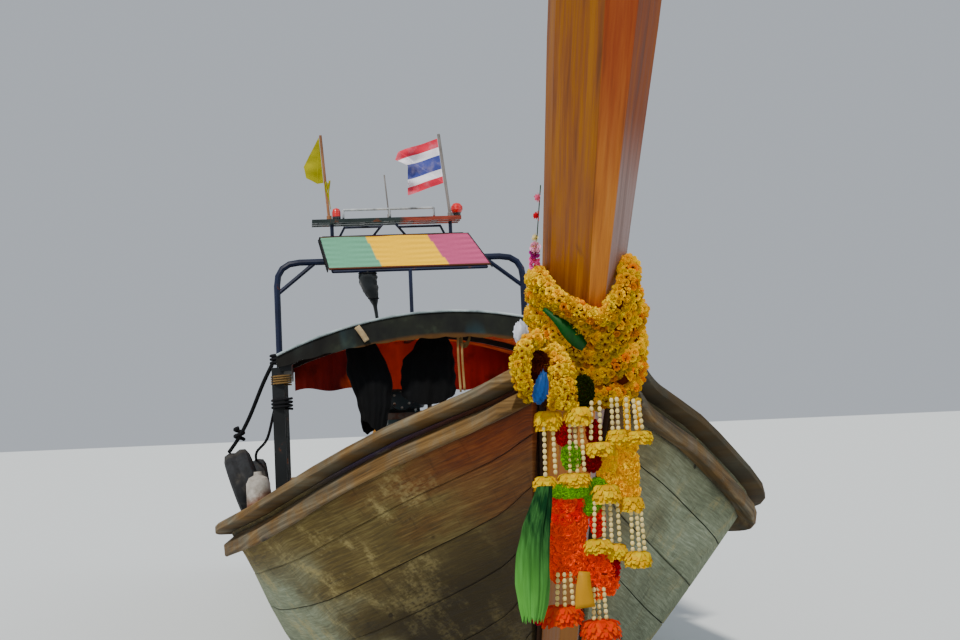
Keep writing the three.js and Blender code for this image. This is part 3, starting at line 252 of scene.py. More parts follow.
def dress(node, finish, bevel=0.003):
    """Gives a CAD node a finish, with its edges slightly rounded."""
    obj = NODES[node]
    obj.data.materials.clear()
    obj.data.materials.append(finish.material)
    weld = obj.modifiers.new("weld", "WELD")
    weld.merge_threshold = 0.0002
    rounding = obj.modifiers.new("rounding", "BEVEL")
    rounding.width = bevel
    rounding.segments = 2
    rounding.limit_method = "ANGLE"
    rounding.angle_limit = math.radians(28)
    rounding.harden_normals = False
    for face in obj.data.polygons:
        face.use_smooth = True
    weighted = obj.modifiers.new("weighted", "WEIGHTED_NORMAL")
    weighted.keep_sharp = True
    return obj


def sheer_line():
    """Places along the hull from the bow aft, and the sheer's height there, from the starboard cap."""
    tops = {}
    for v in NODES["gunwale_cap_starboard"].data.vertices:
        place = round(v.co.y, 1)
        tops[place] = max(tops.get(place, -9.0), v.co.z)
    targets = (-4.8, -4.2, -3.7, -2.9, -2.4, -1.8, -1.2, -0.7, 0.5)
    wanted = [min(tops, key=lambda y: abs(y - target)) for target in targets]
    return [(y, tops[y]) for y in wanted]


SHEER = sheer_line()
TOP_STRAKE = 5
# Each lower strake ends further aft on the raked stem.
STRAKE_STEP = 0.046


def along_planks(finish, row=TOP_STRAKE):
    """A place with its height measured from the sheer's rise, so that grain runs along the planks."""
    along = finish.times(finish.axis("Y"), 1 + STRAKE_STEP * (TOP_STRAKE - row))
    rise = 0.0
    for (y, z), (further, lower) in zip(SHEER, SHEER[1:]):
        rise = finish.plus(rise, finish.band(along, further, y, 0.0, z - lower, "LINEAR"))
    height = finish.minus(finish.axis("Z"), rise)
    return finish.vector(finish.axis("X"), finish.axis("Y"), height), height


def plank_finish(name, row, side):
    """Weathered planking: red-brown near the stem, grey-green aft, worn pale paint in patches, and painted
    shade on the lower planks near the bow and in the seams.
    """
    f = Finish(name, rough=0.85, specular=0.15)
    planks, height = along_planks(f, row)
    shift = (3.7 * row, 1.9 * row * side, 5.3 * row)
    fine = f.noise(9.0, f.stretch((1.0, 0.6, 20.0), planks, shift=shift), detail=8, rough=0.65)
    broad = f.noise(2.2, f.stretch((1.0, 0.7, 3.0), planks, shift=shift), detail=5, rough=0.6)
    streaks = f.noise(5.0, f.stretch((3.0, 5.0, 0.5), shift=shift), detail=5)
    grain = f.plus(f.times(fine, 0.65), f.times(broad, 0.35))
    red = f.ramp(grain, (0.28, (34, 16, 7)), (0.5, (104, 54, 26)), (0.72, (140, 84, 46)))
    olive = f.ramp(grain, (0.28, (40, 34, 18)), (0.5, (98, 84, 50)), (0.72, (138, 126, 86)))
    pale = f.ramp(grain, (0.28, (74, 78, 60)), (0.5, (128, 134, 112)), (0.72, (172, 178, 158)))
    drift = f.plus(f.axis("Y"), f.times(f.minus(broad, 0.5), 1.6))
    start = (-4.2 if row == TOP_STRAKE else -4.6) if side < 0 else -5.2
    aft = f.band(drift, start - 0.5, start + 0.8)
    drop = f.minus(SHEER[-1][1], height)
    low = 0.3 + 0.2 * (TOP_STRAKE - 1 - row)
    if row == TOP_STRAKE:
        low = f.band(drop, 0.14, 0.26, 0.0, 0.4)
    mixed = f.mix(f.math("MINIMUM", f.plus(aft, low), 1.0), red, olive)
    further = f.band(drift, *((-3.4, -2.4) if side < 0 else (start + 0.3, start + 1.6)))
    far = f.times(further, f.band(height, *((0.6, 0.42) if side < 0 else (1.0, 0.5))))
    mixed = f.mix(far, mixed, pale)
    # Painted shade: the lower planks near the bow are darker, far more to starboard than to port.
    deep = f.minus(drop, f.times(f.plus(f.axis("Y"), 3.9), 0.12))
    shaded = f.times(f.band(drift, -2.7, -3.4), f.band(deep, 0.28, 0.58))
    mixed = f.mix(f.times(shaded, 0.9 if side < 0 else 0.2), mixed, (27, 21, 9))
    patch = f.noise(3.4, f.stretch((1.0, 1.0, 1.6), shift=(row * 1.3, 0, 2.1)), detail=6, rough=0.7)
    worn = f.band(patch, 0.5, 0.66)
    scratch = f.band(f.noise(26, f.stretch((1, 1, 5), planks), detail=3), 0.3, 0.6)
    zone = f.times(f.band(f.axis("Y"), -4.5, -3.9), f.band(f.axis("Y"), -1.4, -2.4))
    # The pale paint is fainter under the painted shade.
    kept = f.times(zone, f.minus(0.6, f.times(shaded, 0.45)))
    painted_over = f.mix(f.times(worn, scratch, kept), mixed, (178, 164, 116))
    grime = f.times(f.band(streaks, 0.55, 0.8), 0.4)
    dirty = f.mix(grime, painted_over, (30, 24, 14))
    knots = f.band(f.cells(5.0, f.stretch((1.0, 0.5, 1.6), planks, shift=shift)), 0.09, 0.04)
    knotted = f.mix(f.times(knots, 0.8), dirty, (22, 13, 8))
    damp = f.mix(f.band(f.axis("Z"), 0.2, 0.0, 0.0, 0.7), knotted, (40, 42, 28))
    if row == TOP_STRAKE and side < 0:
        damp = f.mix(blue_strip(f, fine), damp, (40, 54, 118))
    # Painted shade in the seams and under ledges, where the surface is least open.
    seams = f.band(f.openness(0.03), 0.8, 0.5, 0.0, 0.9)
    f.colour(f.mix(seams, damp, (16, 11, 7)))
    f.rough(f.band(fine, 0.2, 0.8, 0.68, 0.95))
    f.bump(fine, 0.006, 0.6)
    f.bump(patch, 0.004, 0.3)
    return f


def blue_strip(f, fine):
    """Where old blue paint is left between the cap and the wale, along the starboard side's forward half."""
    points = [v.co for v in NODES["strake_5_starboard"].data.vertices]
    near, far = (max(p.z for p in points if abs(p.y - y) < 0.5) for y in (-3.5, -2.5))
    top = f.plus(near, f.times(f.plus(f.axis("Y"), 3.5), far - near))
    below = f.minus(top, f.axis("Z"))
    strip = f.times(f.band(below, 0.16, 0.1), f.band(below, 0.0, 0.03))
    length = f.times(f.band(f.axis("Y"), -4.66, -4.5), f.band(f.axis("Y"), -3.3, -4.1))
    outer = f.band(f.axis("X", f.facing), 0.1, -0.2)
    return f.times(strip, length, outer, f.band(fine, 0.25, 0.4))


def rail_finish(name, stain=0.0):
    """The cap and wale: grey-brown timber with its grain along the sheer, dark checks and rubbed edges."""
    f = Finish(name, rough=0.85, specular=0.15)
    _, height = along_planks(f)
    lengthwise = f.vector(f.times(f.axis("X"), 0.1), f.axis("Y"), height)
    fine = f.noise(8.0, f.stretch((1, 0.22, 10.0), lengthwise), detail=8, rough=0.68)
    flecks = f.noise(20.0, f.stretch((0.6, 0.12, 3.0), lengthwise), detail=4, rough=0.6)
    broad = f.noise(3.0, detail=6, rough=0.65)
    grain = f.plus(f.times(fine, 0.6), f.times(flecks, 0.4))
    warm = f.ramp(grain, (0.3, (36, 26, 14)), (0.5, (98, 76, 46)), (0.7, (142, 118, 82)))
    grey = f.ramp(grain, (0.3, (38, 34, 28)), (0.5, (92, 86, 72)), (0.7, (140, 134, 118)))
    mixed = f.mix(f.band(broad, 0.4, 0.62), warm, grey)
    knots = f.band(f.cells(3.4, f.stretch((0.7, 0.5, 0.7))), 0.1, 0.05)
    checks = f.band(flecks, 0.36, 0.3)
    marked = f.mix(f.math("MAXIMUM", f.times(knots, 0.85), f.times(checks, 0.5)), mixed, (20, 14, 9))
    rust = f.times(f.band(f.noise(6, detail=3), 0.62, 0.7), f.band(f.axis("X"), 0.6, 0.9, 0.1, 0.7))
    # A stain above 0 is painted shade: it darkens all of this timber towards a dark olive.
    f.colour(f.mix(stain, f.mix(rust, marked, (136, 76, 34)), (34, 34, 22)))
    f.rough(f.band(fine, 0.2, 0.8, 0.7, 0.95))
    f.bump(fine, 0.006, 0.6)
    f.bump(f.times(knots, -1.0), 0.003, 0.6)
    return f


def board_finish(name, dark, middle, light, run, wear=0.5):
    """Plain timber with its grain along the boards, greyed and rubbed."""
    f = Finish(name, rough=0.85, specular=0.15)
    grain = f.noise(7.0, f.stretch(run), detail=8, rough=0.65, warp=0.2)
    patches = f.noise(3.0, detail=5, rough=0.65)
    base = f.ramp(grain, (0.28, dark), (0.5, middle), (0.74, light))
    f.colour(f.mix(f.times(f.band(patches, 0.5, 0.72), wear), base, dark))
    f.rough(f.band(grain, 0.2, 0.8, 0.6, 0.9))
    f.bump(grain, 0.004, 0.5)
    return f


class Pieces:
    """Collects the points, faces and tints of many small forms, which become one object."""

    def __init__(self):
        self.points, self.faces, self.tints, self.count = [], [], [], 0

    def add(self, points, faces, tint=(1.0, 1.0, 1.0)):
        points = np.asarray(points, dtype=float)
        self.points.append(points)
        self.faces += [tuple(i + self.count for i in face) for face in faces]
        tints = np.asarray(tint, dtype=float)
        self.tints.append(tints if tints.ndim == 2 else np.tile(tints, (len(points), 1)))
        self.count += len(points)
        return self

    def make(self, name, finish, body="hull"):
        data = bpy.data.meshes.new(name)
        data.from_pydata(np.vstack(self.points).tolist(), [], self.faces)
        tint = data.color_attributes.new("tint", "FLOAT_COLOR", "POINT")
        colours = np.hstack([np.vstack(self.tints), np.ones((self.count, 1))])
        tint.data.foreach_set("color", colours.ravel())
        data.polygons.foreach_set("use_smooth", [True] * len(data.polygons))
        data.materials.append(finish.material)
        obj = bpy.data.objects.new(name, data)
        bpy.context.scene.collection.objects.link(obj)
        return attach(obj, body)


def smooth_path(points, steps=8):
    """A Catmull-Rom curve through the points."""
    p = np.asarray(points, dtype=float)
    p = np.vstack([2 * p[:1] - p[1:2], p, 2 * p[-1:] - p[-2:-1]])
    out = []
    for i in range(1, len(p) - 2):
        a, b, c, d = p[i - 1 : i + 3]
        square, cube = 2 * a - 5 * b + 4 * c - d, 3 * b - a - 3 * c + d
        for k in range(steps):
            t = k / steps
            out.append(0.5 * (2 * b + (c - a) * t + square * t**2 + cube * t**3))
    return np.array(out + [p[-2]])


def path_frames(path, closed=False):
    """Unit tangents and two steady cross directions along a path."""
    path = np.asarray(path, dtype=float)
    if closed:
        tangents = np.roll(path, -1, axis=0) - np.roll(path, 1, axis=0)
    else:
        tangents = np.gradient(path, axis=0)
    tangents /= np.linalg.norm(tangents, axis=1, keepdims=True)
    side = np.cross(tangents[0], (0.31, 0.21, 0.93))
    across = []
    for t in tangents:
        side = side - t * side.dot(t)
        side /= np.linalg.norm(side)
        across.append(side)
    across = np.array(across)
    return tangents, across, np.cross(tangents, across)


def tube(path, radius, sides=8, closed=False):
    """Points and faces of a round bar along a path; radius is one number or one for each point."""
    path = np.asarray(path, dtype=float)
    _, u, v = path_frames(path, closed)
    radius = np.broadcast_to(np.asarray(radius, dtype=float), (len(path),))
    angles = np.linspace(0, 2 * math.pi, sides, endpoint=False)
    rings = path[:, None] + radius[:, None, None] * (
        np.cos(angles)[None, :, None] * u[:, None] + np.sin(angles)[None, :, None] * v[:, None]
    )
    faces = []
    spans = len(path) if closed else len(path) - 1
    for i in range(spans):
        j = (i + 1) % len(path)
        for k in range(sides):
            n = (k + 1) % sides
            faces.append((i * sides + k, i * sides + n, j * sides + n, j * sides + k))
    if not closed:
        faces.append(tuple(range(sides - 1, -1, -1)))
        faces.append(tuple(range((len(path) - 1) * sides, len(path) * sides)))
    return rings.reshape(-1, 3), faces


def lathe(profile, place, toward=(0, 0, 1), sides=16):
    """A turned form: the profile's columns are radius and distance along the axis."""
    turn = Vector(toward).to_track_quat("Z", "Y").to_matrix()
    angles = np.linspace(0, 2 * math.pi, sides, endpoint=False)
    ring = np.stack([np.cos(angles), np.sin(angles), np.zeros(sides)], axis=1)
    points = np.vstack([ring * r + (0, 0, h) for r, h in profile])
    points = points @ np.array(turn).T + np.asarray(place)
    faces = []
    for i in range(len(profile) - 1):
        for k in range(sides):
            n = (k + 1) % sides
            faces.append((i * sides + k, i * sides + n, (i + 1) * sides + n, (i + 1) * sides + k))
    faces.append(tuple(range(sides - 1, -1, -1)))
    faces.append(tuple(range((len(profile) - 1) * sides, len(profile) * sides)))
    return points, faces


def ball(radius, place, squash=(1, 1, 1), rings=6, sides=10):
    turns = [math.pi * i / rings for i in range(rings + 1)]
    points, faces = lathe([(max(math.sin(a), 0.02), -math.cos(a)) for a in turns], (0, 0, 0), sides=sides)
    return points * radius * np.asarray(squash) + np.asarray(place), faces


def block(size, place):
    """A box with its edges cut off."""
    made = bmesh.new()
    bmesh.ops.create_cube(made, size=1)
    bmesh.ops.scale(made, vec=size, verts=made.verts)
    bmesh.ops.bevel(made, geom=made.edges[:], offset=0.12 * min(size), segments=1, affect="EDGES")
    points = np.array([v.co for v in made.verts]) + np.asarray(place)
    faces = [tuple(v.index for v in f.verts) for f in made.faces]
    made.free()
    return points, faces


def wound(centre, across, upward, end, count, rise=0.0):
    """Points round a centre along an oval of two half-axes; the height grows with the angle."""
    centre, across, upward = (np.asarray(p, dtype=float) for p in (centre, across, upward))
    angles = np.linspace(0, end, count)
    return [centre + across * math.cos(a) + upward * math.sin(a) + (0, 0, rise * a) for a in angles]


def hoop(centre, across, upward, count):
    """A closed oval's points, without a second one at the start."""
    return wound(centre, across, upward, math.tau, count + 1)[:-1]


def grid(across, along, place):
    """A sheet's points and faces; place gives a point from two shares from 0 to 1."""
    points = [place(i / across, j / along) for j in range(along + 1) for i in range(across + 1)]
    row = across + 1
    faces = [
        (j * row + i, j * row + i + 1, (j + 1) * row + i + 1, (j + 1) * row + i)
        for j in range(along)
        for i in range(across)
    ]
    return np.array(points), faces


def ripple(x, *waves):
    """A sum of sine waves; each wave is a size, a count over the unit length and a phase."""
    return sum(size * math.sin(2 * math.pi * count * x + phase) for size, count, phase in waves)


def add_floor():
    """The floor lies at the waterline, with an opening along the planking's section there."""
    crossings = {-1: [], 1: []}
    for name, obj in NODES.items():
        if not name.startswith("strake"):
            continue
        side = 1 if name.endswith("port") else -1
        points = [v.co for v in obj.data.vertices]
        for edge in obj.data.edges:
            a, b = (points[i] for i in edge.vertices)
            if (a.z > 0) != (b.z > 0):
                crossings[side].append(a.lerp(b, a.z / (a.z - b.z)))
    bow = min(p.y for p in crossings[1]) - 0.02
    stern = max(p.y for p in crossings[1]) - 0.03
    outline = []
    steps, nearest = 46, 14
    for side in (1, -1):
        half = []
        for k in range(steps + 1):
            y = bow + (stern - bow) * k / steps
            near = sorted(crossings[side], key=lambda p: abs(p.y - y))[:nearest]
            x = (min(p.x for p in near) + max(p.x for p in near)) / 2
            half.append(Vector((x if 0 < k else side * 0.03, y, 0)))
        outline += half if side == 1 else half[::-1]
    mesh = bmesh.new()
    reach = 70
    rim = [Vector((x * reach, y * reach, 0)) for x, y in ((-1, -1), (1, -1), (1, 1), (-1, 1))]
    for ring in (rim, outline):
        made = [mesh.verts.new(p) for p in ring]
        for a, b in zip(made, made[1:] + made[:1]):
            mesh.edges.new((a, b))
    bmesh.ops.triangle_fill(mesh, use_beauty=True, edges=mesh.edges[:])
    data = bpy.data.meshes.new("floor")
    mesh.to_mesh(data)
    floor = bpy.data.objects.new("floor", data)
    bpy.context.scene.collection.objects.link(floor)
    pale = Finish("pale_floor", rough=0.9, specular=0.1)
    pale.colour((214, 218, 220))
    floor.data.materials.append(pale.material)


def add_sun(name, energy, place, angle, colour):
    data = bpy.data.lights.new(name, "SUN")
    data.energy = energy
    data.color = colour
    data.angle = math.radians(angle)
    light = bpy.data.objects.new(name, data)
    light.location = place
    light.rotation_euler = (-Vector(place)).to_track_quat("-Z", "Y").to_euler()
    bpy.context.scene.collection.objects.link(light)


def add_lights():
    world = bpy.data.worlds.new("studio")
    world.use_nodes = True
    background = world.node_tree.nodes["Background"]
    background.inputs["Color"].default_value = (0.78, 0.84, 0.92, 1)
    background.inputs["Strength"].default_value = 0.6
    bpy.context.scene.world = world
    add_sun("key", 3.9, (-5, -8, 11), 5, (1.0, 0.95, 0.86))
    add_sun("fill", 0.5, (9, -4, 6), 40, (0.9, 0.95, 1.0))


add_floor()
add_lights()

SEATS = range(1, 6)


def dress_timber():
    for strake in range(1, TOP_STRAKE + 1):
        for side, name in ((-1, "starboard"), (1, "port")):
            finish = plank_finish(f"planks_{strake}_{name}", strake, side)
            board = dress(f"strake_{strake}_{name}", finish, bevel=0.004)
            # The planks swell until the gaps between them close, but for a dark line.
            swelling = board.modifiers.new("swelling", "DISPLACE")
            swelling.strength = 0.0026
            swelling.mid_level = 0.0
            board.modifiers.move(len(board.modifiers) - 1, 1)
    pale = ((70, 54, 36), (142, 118, 86), (178, 156, 122))
    seats = [f"seat_{k}" for k in SEATS]
    for names, finish in (
        (("wale_port", "wale_starboard", "gunwale_cap_starboard"), rail_finish("gunwale_timber")),
        # The port cap's copy carries painted shade.
        (("gunwale_cap_port",), rail_finish("shaded_cap_timber", stain=0.55)),
        (("floorboards", "foredeck", "aft_deck"), board_finish("deck_timber", *pale, (9.0, 0.8, 9.0), 0.4)),
        (seats, board_finish("thwart_timber", *pale, (0.8, 9.0, 9.0), 0.4)),
        (
            ("frames_fore", "frames_mid", "frames_aft", "keel"),
            board_finish("frame_timber", (48, 40, 28), (104, 92, 68), (140, 126, 98), (6, 6, 6)),
        ),
        (
            ("transom",),
            board_finish("transom_timber", (46, 38, 26), (98, 88, 62), (132, 122, 94), (0.8, 4, 12)),
        ),
    ):
        for name in names:
            dress(name, finish)


dress_timber()


# The stem's nose line: how far it goes aft for each metre down, and one place on it.
NOSE_SLOPE, NOSE_HEIGHT, NOSE_PLACE = 0.76, 1.514, -5.22


def stem_finish():
    """Varnished timber with its grain up the rake, coloured by which way each face points as painted light
    and shade: a lit ochre starboard flank, an orange nose, and a darker red port face, greyed low down by a
    painted reflection of the sky.
    """
    f = Finish("stem_timber", rough=0.6, specular=0.22)
    rake = f.plus(f.axis("Y"), f.times(f.axis("Z"), NOSE_SLOPE))
    grain_place = f.vector(f.axis("X"), rake, f.times(f.axis("Z"), 0.06))
    fine = f.noise(60, grain_place, detail=6, rough=0.6)
    broad = f.noise(17, grain_place, detail=4, rough=0.6)
    grain = f.plus(f.times(fine, 0.55), f.times(broad, 0.45))
    across = f.axis("X", f.facing)
    browns = (0.3, (56, 26, 6)), (0.45, (116, 68, 18)), (0.6, (140, 92, 16)), (0.8, (170, 124, 42))
    ochre = f.ramp(grain, *browns)
    orange = f.ramp(grain, (0.3, (104, 50, 20)), (0.5, (180, 118, 54)), (0.72, (206, 152, 86)))
    red = f.ramp(grain, (0.3, (76, 28, 10)), (0.5, (138, 64, 26)), (0.72, (166, 98, 48)))
    # Painted reflection: a grey-mauve for the port face's lower part, as the sky would show on varnish.
    painted_sky_reflection = f.ramp(grain, (0.3, (84, 62, 54)), (0.5, (136, 112, 106)), (0.72, (160, 140, 138)))
    dark_red = f.ramp(grain, (0.3, (58, 24, 2)), (0.5, (110, 54, 8)), (0.72, (140, 82, 24)))
    port = f.mix(f.band(f.axis("Z"), 1.86, 2.08), painted_sky_reflection, dark_red)
    high = f.band(f.plus(f.axis("Z"), f.times(broad, 0.5)), 1.95, 2.5)
    nose = f.mix(high, orange, red)
    # Painted light and shade: the starboard flank takes the lit ochre, the port face the darker colours.
    flank = f.mix(f.band(across, 0.35, 0.75), nose, port)
    colour = f.mix(f.band(across, -0.3, -0.6), flank, ochre)
    knots = f.band(f.noise(7, f.stretch((1, 1, 0.5)), detail=3), 0.66, 0.74)
    worn = f.mix(f.times(knots, 0.6), colour, (74, 34, 14))
    low = f.band(f.axis("Z"), 1.15, 0.7)
    f.colour(f.mix(f.times(low, 0.7), worn, (84, 58, 34)))
    f.rough(f.band(fine, 0.3, 0.7, 0.5, 0.7))
    f.bump(fine, 0.004, 0.35)
    return f


dress("stem_post", stem_finish(), bevel=0.004)

# The garlands' outline round the stem: height, middle, half-width, half-depth.
WRAP_OUTLINE = (
    (1.24, -0.03, 0.15, 0.21),
    (1.30, -0.01, 0.155, 0.215),
    (1.40, 0.008, 0.162, 0.22),
    (1.50, 0.008, 0.168, 0.225),
    (1.56, 0.006, 0.166, 0.23),
    (1.62, -0.006, 0.160, 0.23),
    (1.68, -0.018, 0.148, 0.225),
    (1.76, -0.014, 0.130, 0.205),
)


def nose_y(z):
    """How far along the boat the stem's nose is at a height."""
    return NOSE_PLACE + NOSE_SLOPE * (NOSE_HEIGHT - z)


# How far aft of the stem's nose the middle of the garlands lies.
BEHIND_NOSE = 0.165


def outline_at(z):
    """The garlands' middle across, middle along, half-width and half-depth at a height."""
    heights, *columns = np.array(WRAP_OUTLINE).T
    middle, half, deep = (float(np.interp(z, heights, column)) for column in columns)
    return middle, nose_y(z) + BEHIND_NOSE, half, deep


def round_stem(angle, z, out):
    """A point near the garlands' outline; the angle is 0 ahead of the nose and grows to port."""
    middle, y, half, deep = outline_at(z)
    return (middle + (half + out) * math.sin(angle), y - (deep + out) * math.cos(angle), z)


def in_front(x, z, out):
    """A point on the garlands' front at a place across and up."""
    middle, y, half, deep = outline_at(z)
    share = max(-0.98, min(0.98, (x - middle) / (half + out)))
    return (x, y - (deep + out) * math.sqrt(1 - share * share), z)


def petal_head(rows):
    """Points, faces and shade of a ruffled flower head of radius 1 that faces +Z; the shade is painted:
    darker at the petals' bases, lighter at their tips.
    """
    points, faces, shade = [], [], []
    for count, reach, rise in rows:
        for k in range(count):
            a = 2 * math.pi * (k + rng.uniform(-0.3, 0.3)) / count
            wide = math.pi / count * rng.uniform(0.7, 1.1)
            r = reach * rng.uniform(0.85, 1.1)
            lift = rise + rng.uniform(-0.1, 0.1)
            base = len(points)
            points += [
                (out * math.cos(a + turn * wide), out * math.sin(a + turn * wide), z)
                for out, turn, z in (
                    (0.3, -0.4, 0.15),
                    (0.3, 0.4, 0.15),
                    (r, 1, lift),
                    (r * 1.08, 0, lift * 1.1 - 0.08),
                    (r, -1, lift),
                )
            ]
            faces += [(base, base + 1, base + 2, base + 3), (base, base + 3, base + 4)]
            # Painted shade: each petal darker at its base, lighter at its tip.
            shade += [0.5, 0.5, 1.0, 1.12, 0.88]
    return np.array(points), faces, np.array(shade)


HEADS = [petal_head(((7, 1.0, 0.1), (7, 0.9, 0.45), (6, 0.65, 0.8), (4, 0.4, 1.0))) for _ in range(6)]
LEMON, GOLD, AMBER = (250, 214, 0), (250, 198, 0), (240, 164, 0)
SCARLET, TANGERINE, LEAF, CREAM = (226, 34, 4), (255, 92, 4), (112, 168, 14), (222, 208, 160)


def shade_of(*choices):
    """A random linear colour near one of the screen colours."""
    colour = light_of(rng.choice(choices))
    return colour * rng.uniform(0.8, 1.15)


def add_head(pieces, place, outward, radius, colour):
    points, faces, shade = rng.choice(HEADS)
    spin = Matrix.Rotation(rng.uniform(0, 6.3), 3, "Z")
    turn = Vector(outward).to_track_quat("Z", "Y").to_matrix() @ spin
    # The head's painted shade scales its colour point by point.
    pieces.add(points * radius @ np.array(turn).T + np.asarray(place), faces, shade[:, None] * colour)


def flower_rope(pieces, path, radius, colours, shaded_core=(120, 62, 8)):
    """A garland: a dark tube under flower heads, its colour painted shade between them, and the heads carry
    painted light: brighter to port and where they face up.
    """
    head = 0.0125
    pieces.add(*tube(path, radius * 0.72, 7), light_of(shaded_core))
    lengths = np.concatenate([[0], np.cumsum(np.linalg.norm(np.diff(path, axis=0), axis=1))])
    _, u, v = path_frames(path)
    columns = np.hstack([path, u, v]).T
    rows = max(2, int(lengths[-1] / (head * 1.35)))
    around = max(4, int(2 * math.pi * radius / (head * 1.7)))
    for i in range(rows):
        at = lengths[-1] * (i + 0.5) / rows
        centre, a, b = np.reshape([np.interp(at, lengths, column) for column in columns], (3, 3))
        # Painted light: the heads are brighter to port.
        port_light = 1 + 0.35 * min(1, max(0, centre[0] / 0.14))
        for k in range(around):
            angle = 2 * math.pi * (k + 0.5 * (i % 2) + rng.uniform(-0.2, 0.2)) / around
            outward = a * math.cos(angle) + b * math.sin(angle)
            place = centre + outward * (radius - head * 0.55)
            # Painted light and shade: heads that face up are lighter, those that face down darker.
            lit = port_light * min(1.1, max(0.4, 0.8 + 0.45 * outward[2]))
            ruffled = outward + np.array([rng.uniform(-0.5, 0.5) for _ in range(3)])
            add_head(pieces, place, ruffled, head * rng.uniform(0.8, 1.2), shade_of(*colours) * lit)


# The turn from one point to the next that spreads points evenly over a ball.
GOLDEN_ANGLE = 2.39996


def flower_cluster(pieces, place, half, tall, colours, head):
    """A flattened ball of flower heads, as at a garland's end."""
    # The ball under the heads is dark brown: painted shade between them.
    pieces.add(*ball(1, place, (half * 0.75, half * 0.75, tall * 0.75)), light_of((110, 60, 8)))
    count = int(14 * (half * half + 2 * half * tall) / (head * head)) // 3
    for k in range(count):
        up = 1 - 2 * (k + 0.5) / count
        angle = GOLDEN_ANGLE * k
        flat = math.sqrt(1 - up * up)
        way = np.array((flat * math.cos(angle), flat * math.sin(angle), up))
        outward = way / (half, half, tall)
        add_head(pieces, np.asarray(place) + way * (half, half, tall), outward, head, shade_of(*colours))


def petal_skirt(pieces, place, half, tall, colours):
    """A garland's end: rings of long petals that stand out and droop round a small boss, with painted shade:
    the boss darkened and each petal darker at its base.
    """
    centre = np.asarray(place)
    pitch, half_petal = 0.0095, 0.0072
    # The boss is its colour darkened: painted shade under the petals.
    pieces.add(*ball(1, centre, (half * 0.6, half * 0.6, tall * 0.8)), shade_of(colours[-1]) * 0.6)
    for layer in range(4):
        count = int(2 * math.pi * half / pitch)
        rise = tall * (0.75 - 0.42 * layer)
        for k in range(count):
            a = 2 * math.pi * (k + 0.5 * (layer % 2) + rng.uniform(-0.25, 0.25)) / count
            out = half * rng.uniform(0.88, 1.08) * (1 - 0.08 * abs(layer - 1.5))
            way = np.array((math.cos(a), math.sin(a), 0))
            side = np.array((-way[1], way[0], 0)) * half_petal
            drop = tall * rng.uniform(0.5, 0.85)
            leaf = []
            for r, z, w in (
                (0.25 * out, rise * 0.6, 0.5),
                (0.62 * out, rise, 1.0),
                (0.9 * out, rise - 0.35 * drop, 1.0),
                (out, rise - drop, 0.45),
            ):
                leaf += [centre + way * r + side * w + (0, 0, z), centre + way * r - side * w + (0, 0, z)]
            quads = [(0, 1, 3, 2), (2, 3, 5, 4), (4, 5, 7, 6)]
            # Painted shade: each petal darker at its base than towards its tip.
            shade = np.repeat((0.55, 0.85, 1.05, 1.0), 2)[:, None]
            pieces.add(np.array(leaf), quads, shade * shade_of(*colours) * 0.64)


def bud_string(pieces, x, y, top, bottom, lean):
    """Long white buds threaded on a dark string, one above another."""
    pitch, size = 0.0138, 0.0056
    pieces.add(*tube([(x, y, top), (x + lean, y, bottom)], 0.0016, 5), light_of((30, 46, 20)))
    count = max(2, int((top - bottom) / pitch))
    for k in range(count):
        share = (k + 0.5) / count
        place = (x + lean * share, y, top + (bottom - top) * share)
        bud = ball(size, place, (1, 1, 1.25), rings=5, sides=8)
        pieces.add(*bud, shade_of(CREAM, CREAM, (214, 200, 160)))


def crumple(radius, place, squash, seed):
    """A crumpled ball of cloth."""
    points, faces = ball(1, (0, 0, 0), rings=22, sides=34)
    x, y, z = points.T
    folds = np.sin(9 * x + 5 * z + seed) * np.cos(7 * z - 6 * y + 2 * seed)
    folds += 0.6 * np.sin(17 * z + 11 * x - seed)
    return points * (1 + 0.11 * folds)[:, None] * radius * np.asarray(squash) + np.asarray(place), faces


def petals_finish():
    f = Finish("petals", rough=0.9, specular=0.03)
    tint = f.attribute("tint")
    f.colour(f.mix(0.3, tint, (0, 0, 0)))
    # Painted light: the petals glow in a yellow of their tint, which lifts them where they lie in shade.
    f.glow(f.mix(1.0, tint, (255, 226, 0), "MULTIPLY"), 0.19)
    return f.set("Subsurface Weight", 0.06).set("Subsurface Radius", (0.01, 0.005, 0.001))


PETALS = petals_finish()
YELLOWS = (LEMON, LEMON, GOLD, LEMON, GOLD, LEMON, GOLD, GOLD, AMBER)
GOLDEN, FIERY = (LEMON, GOLD), (TANGERINE, (255, 70, 0))

# The ropes wound round the stem: radius, distance out from the outline, then stops of angle and height.
UPPER_ROPES = (
    (0.028, -0.026, (-180, 1.70), (-125, 1.69), (-81, 1.668), (-49, 1.616), (-20, 1.574), (2, 1.553))
    + ((22, 1.596), (50, 1.65), (80, 1.70), (125, 1.71), (180, 1.70)),
    (0.026, -0.030, (-180, 1.64), (-110, 1.64), (-71, 1.622), (-36, 1.560), (-1, 1.504), (22, 1.540))
    + ((72, 1.620), (110, 1.65), (180, 1.64)),
    (0.026, -0.026, (-180, 1.58), (-115, 1.59), (-82, 1.572), (-49, 1.516), (-30, 1.486), (-7, 1.456))
    + ((17, 1.486), (40, 1.535), (75, 1.585), (115, 1.60), (180, 1.58)),
)
LOWER_ROPES = (
    (0.027, -0.028, (-180, 1.52), (-120, 1.53), (-82, 1.516), (-54, 1.466), (-30, 1.430), (-1, 1.406))
    + ((24, 1.432), (60, 1.475), (92, 1.52), (125, 1.54), (180, 1.52)),
    (0.026, -0.020, (104, 1.55), (88, 1.475), (72, 1.40), (48, 1.368), (22, 1.352), (0, 1.346), (-10, 1.352)),
    (0.026, -0.026, (104, 1.49), (84, 1.44), (60, 1.42), (36, 1.40)),
)
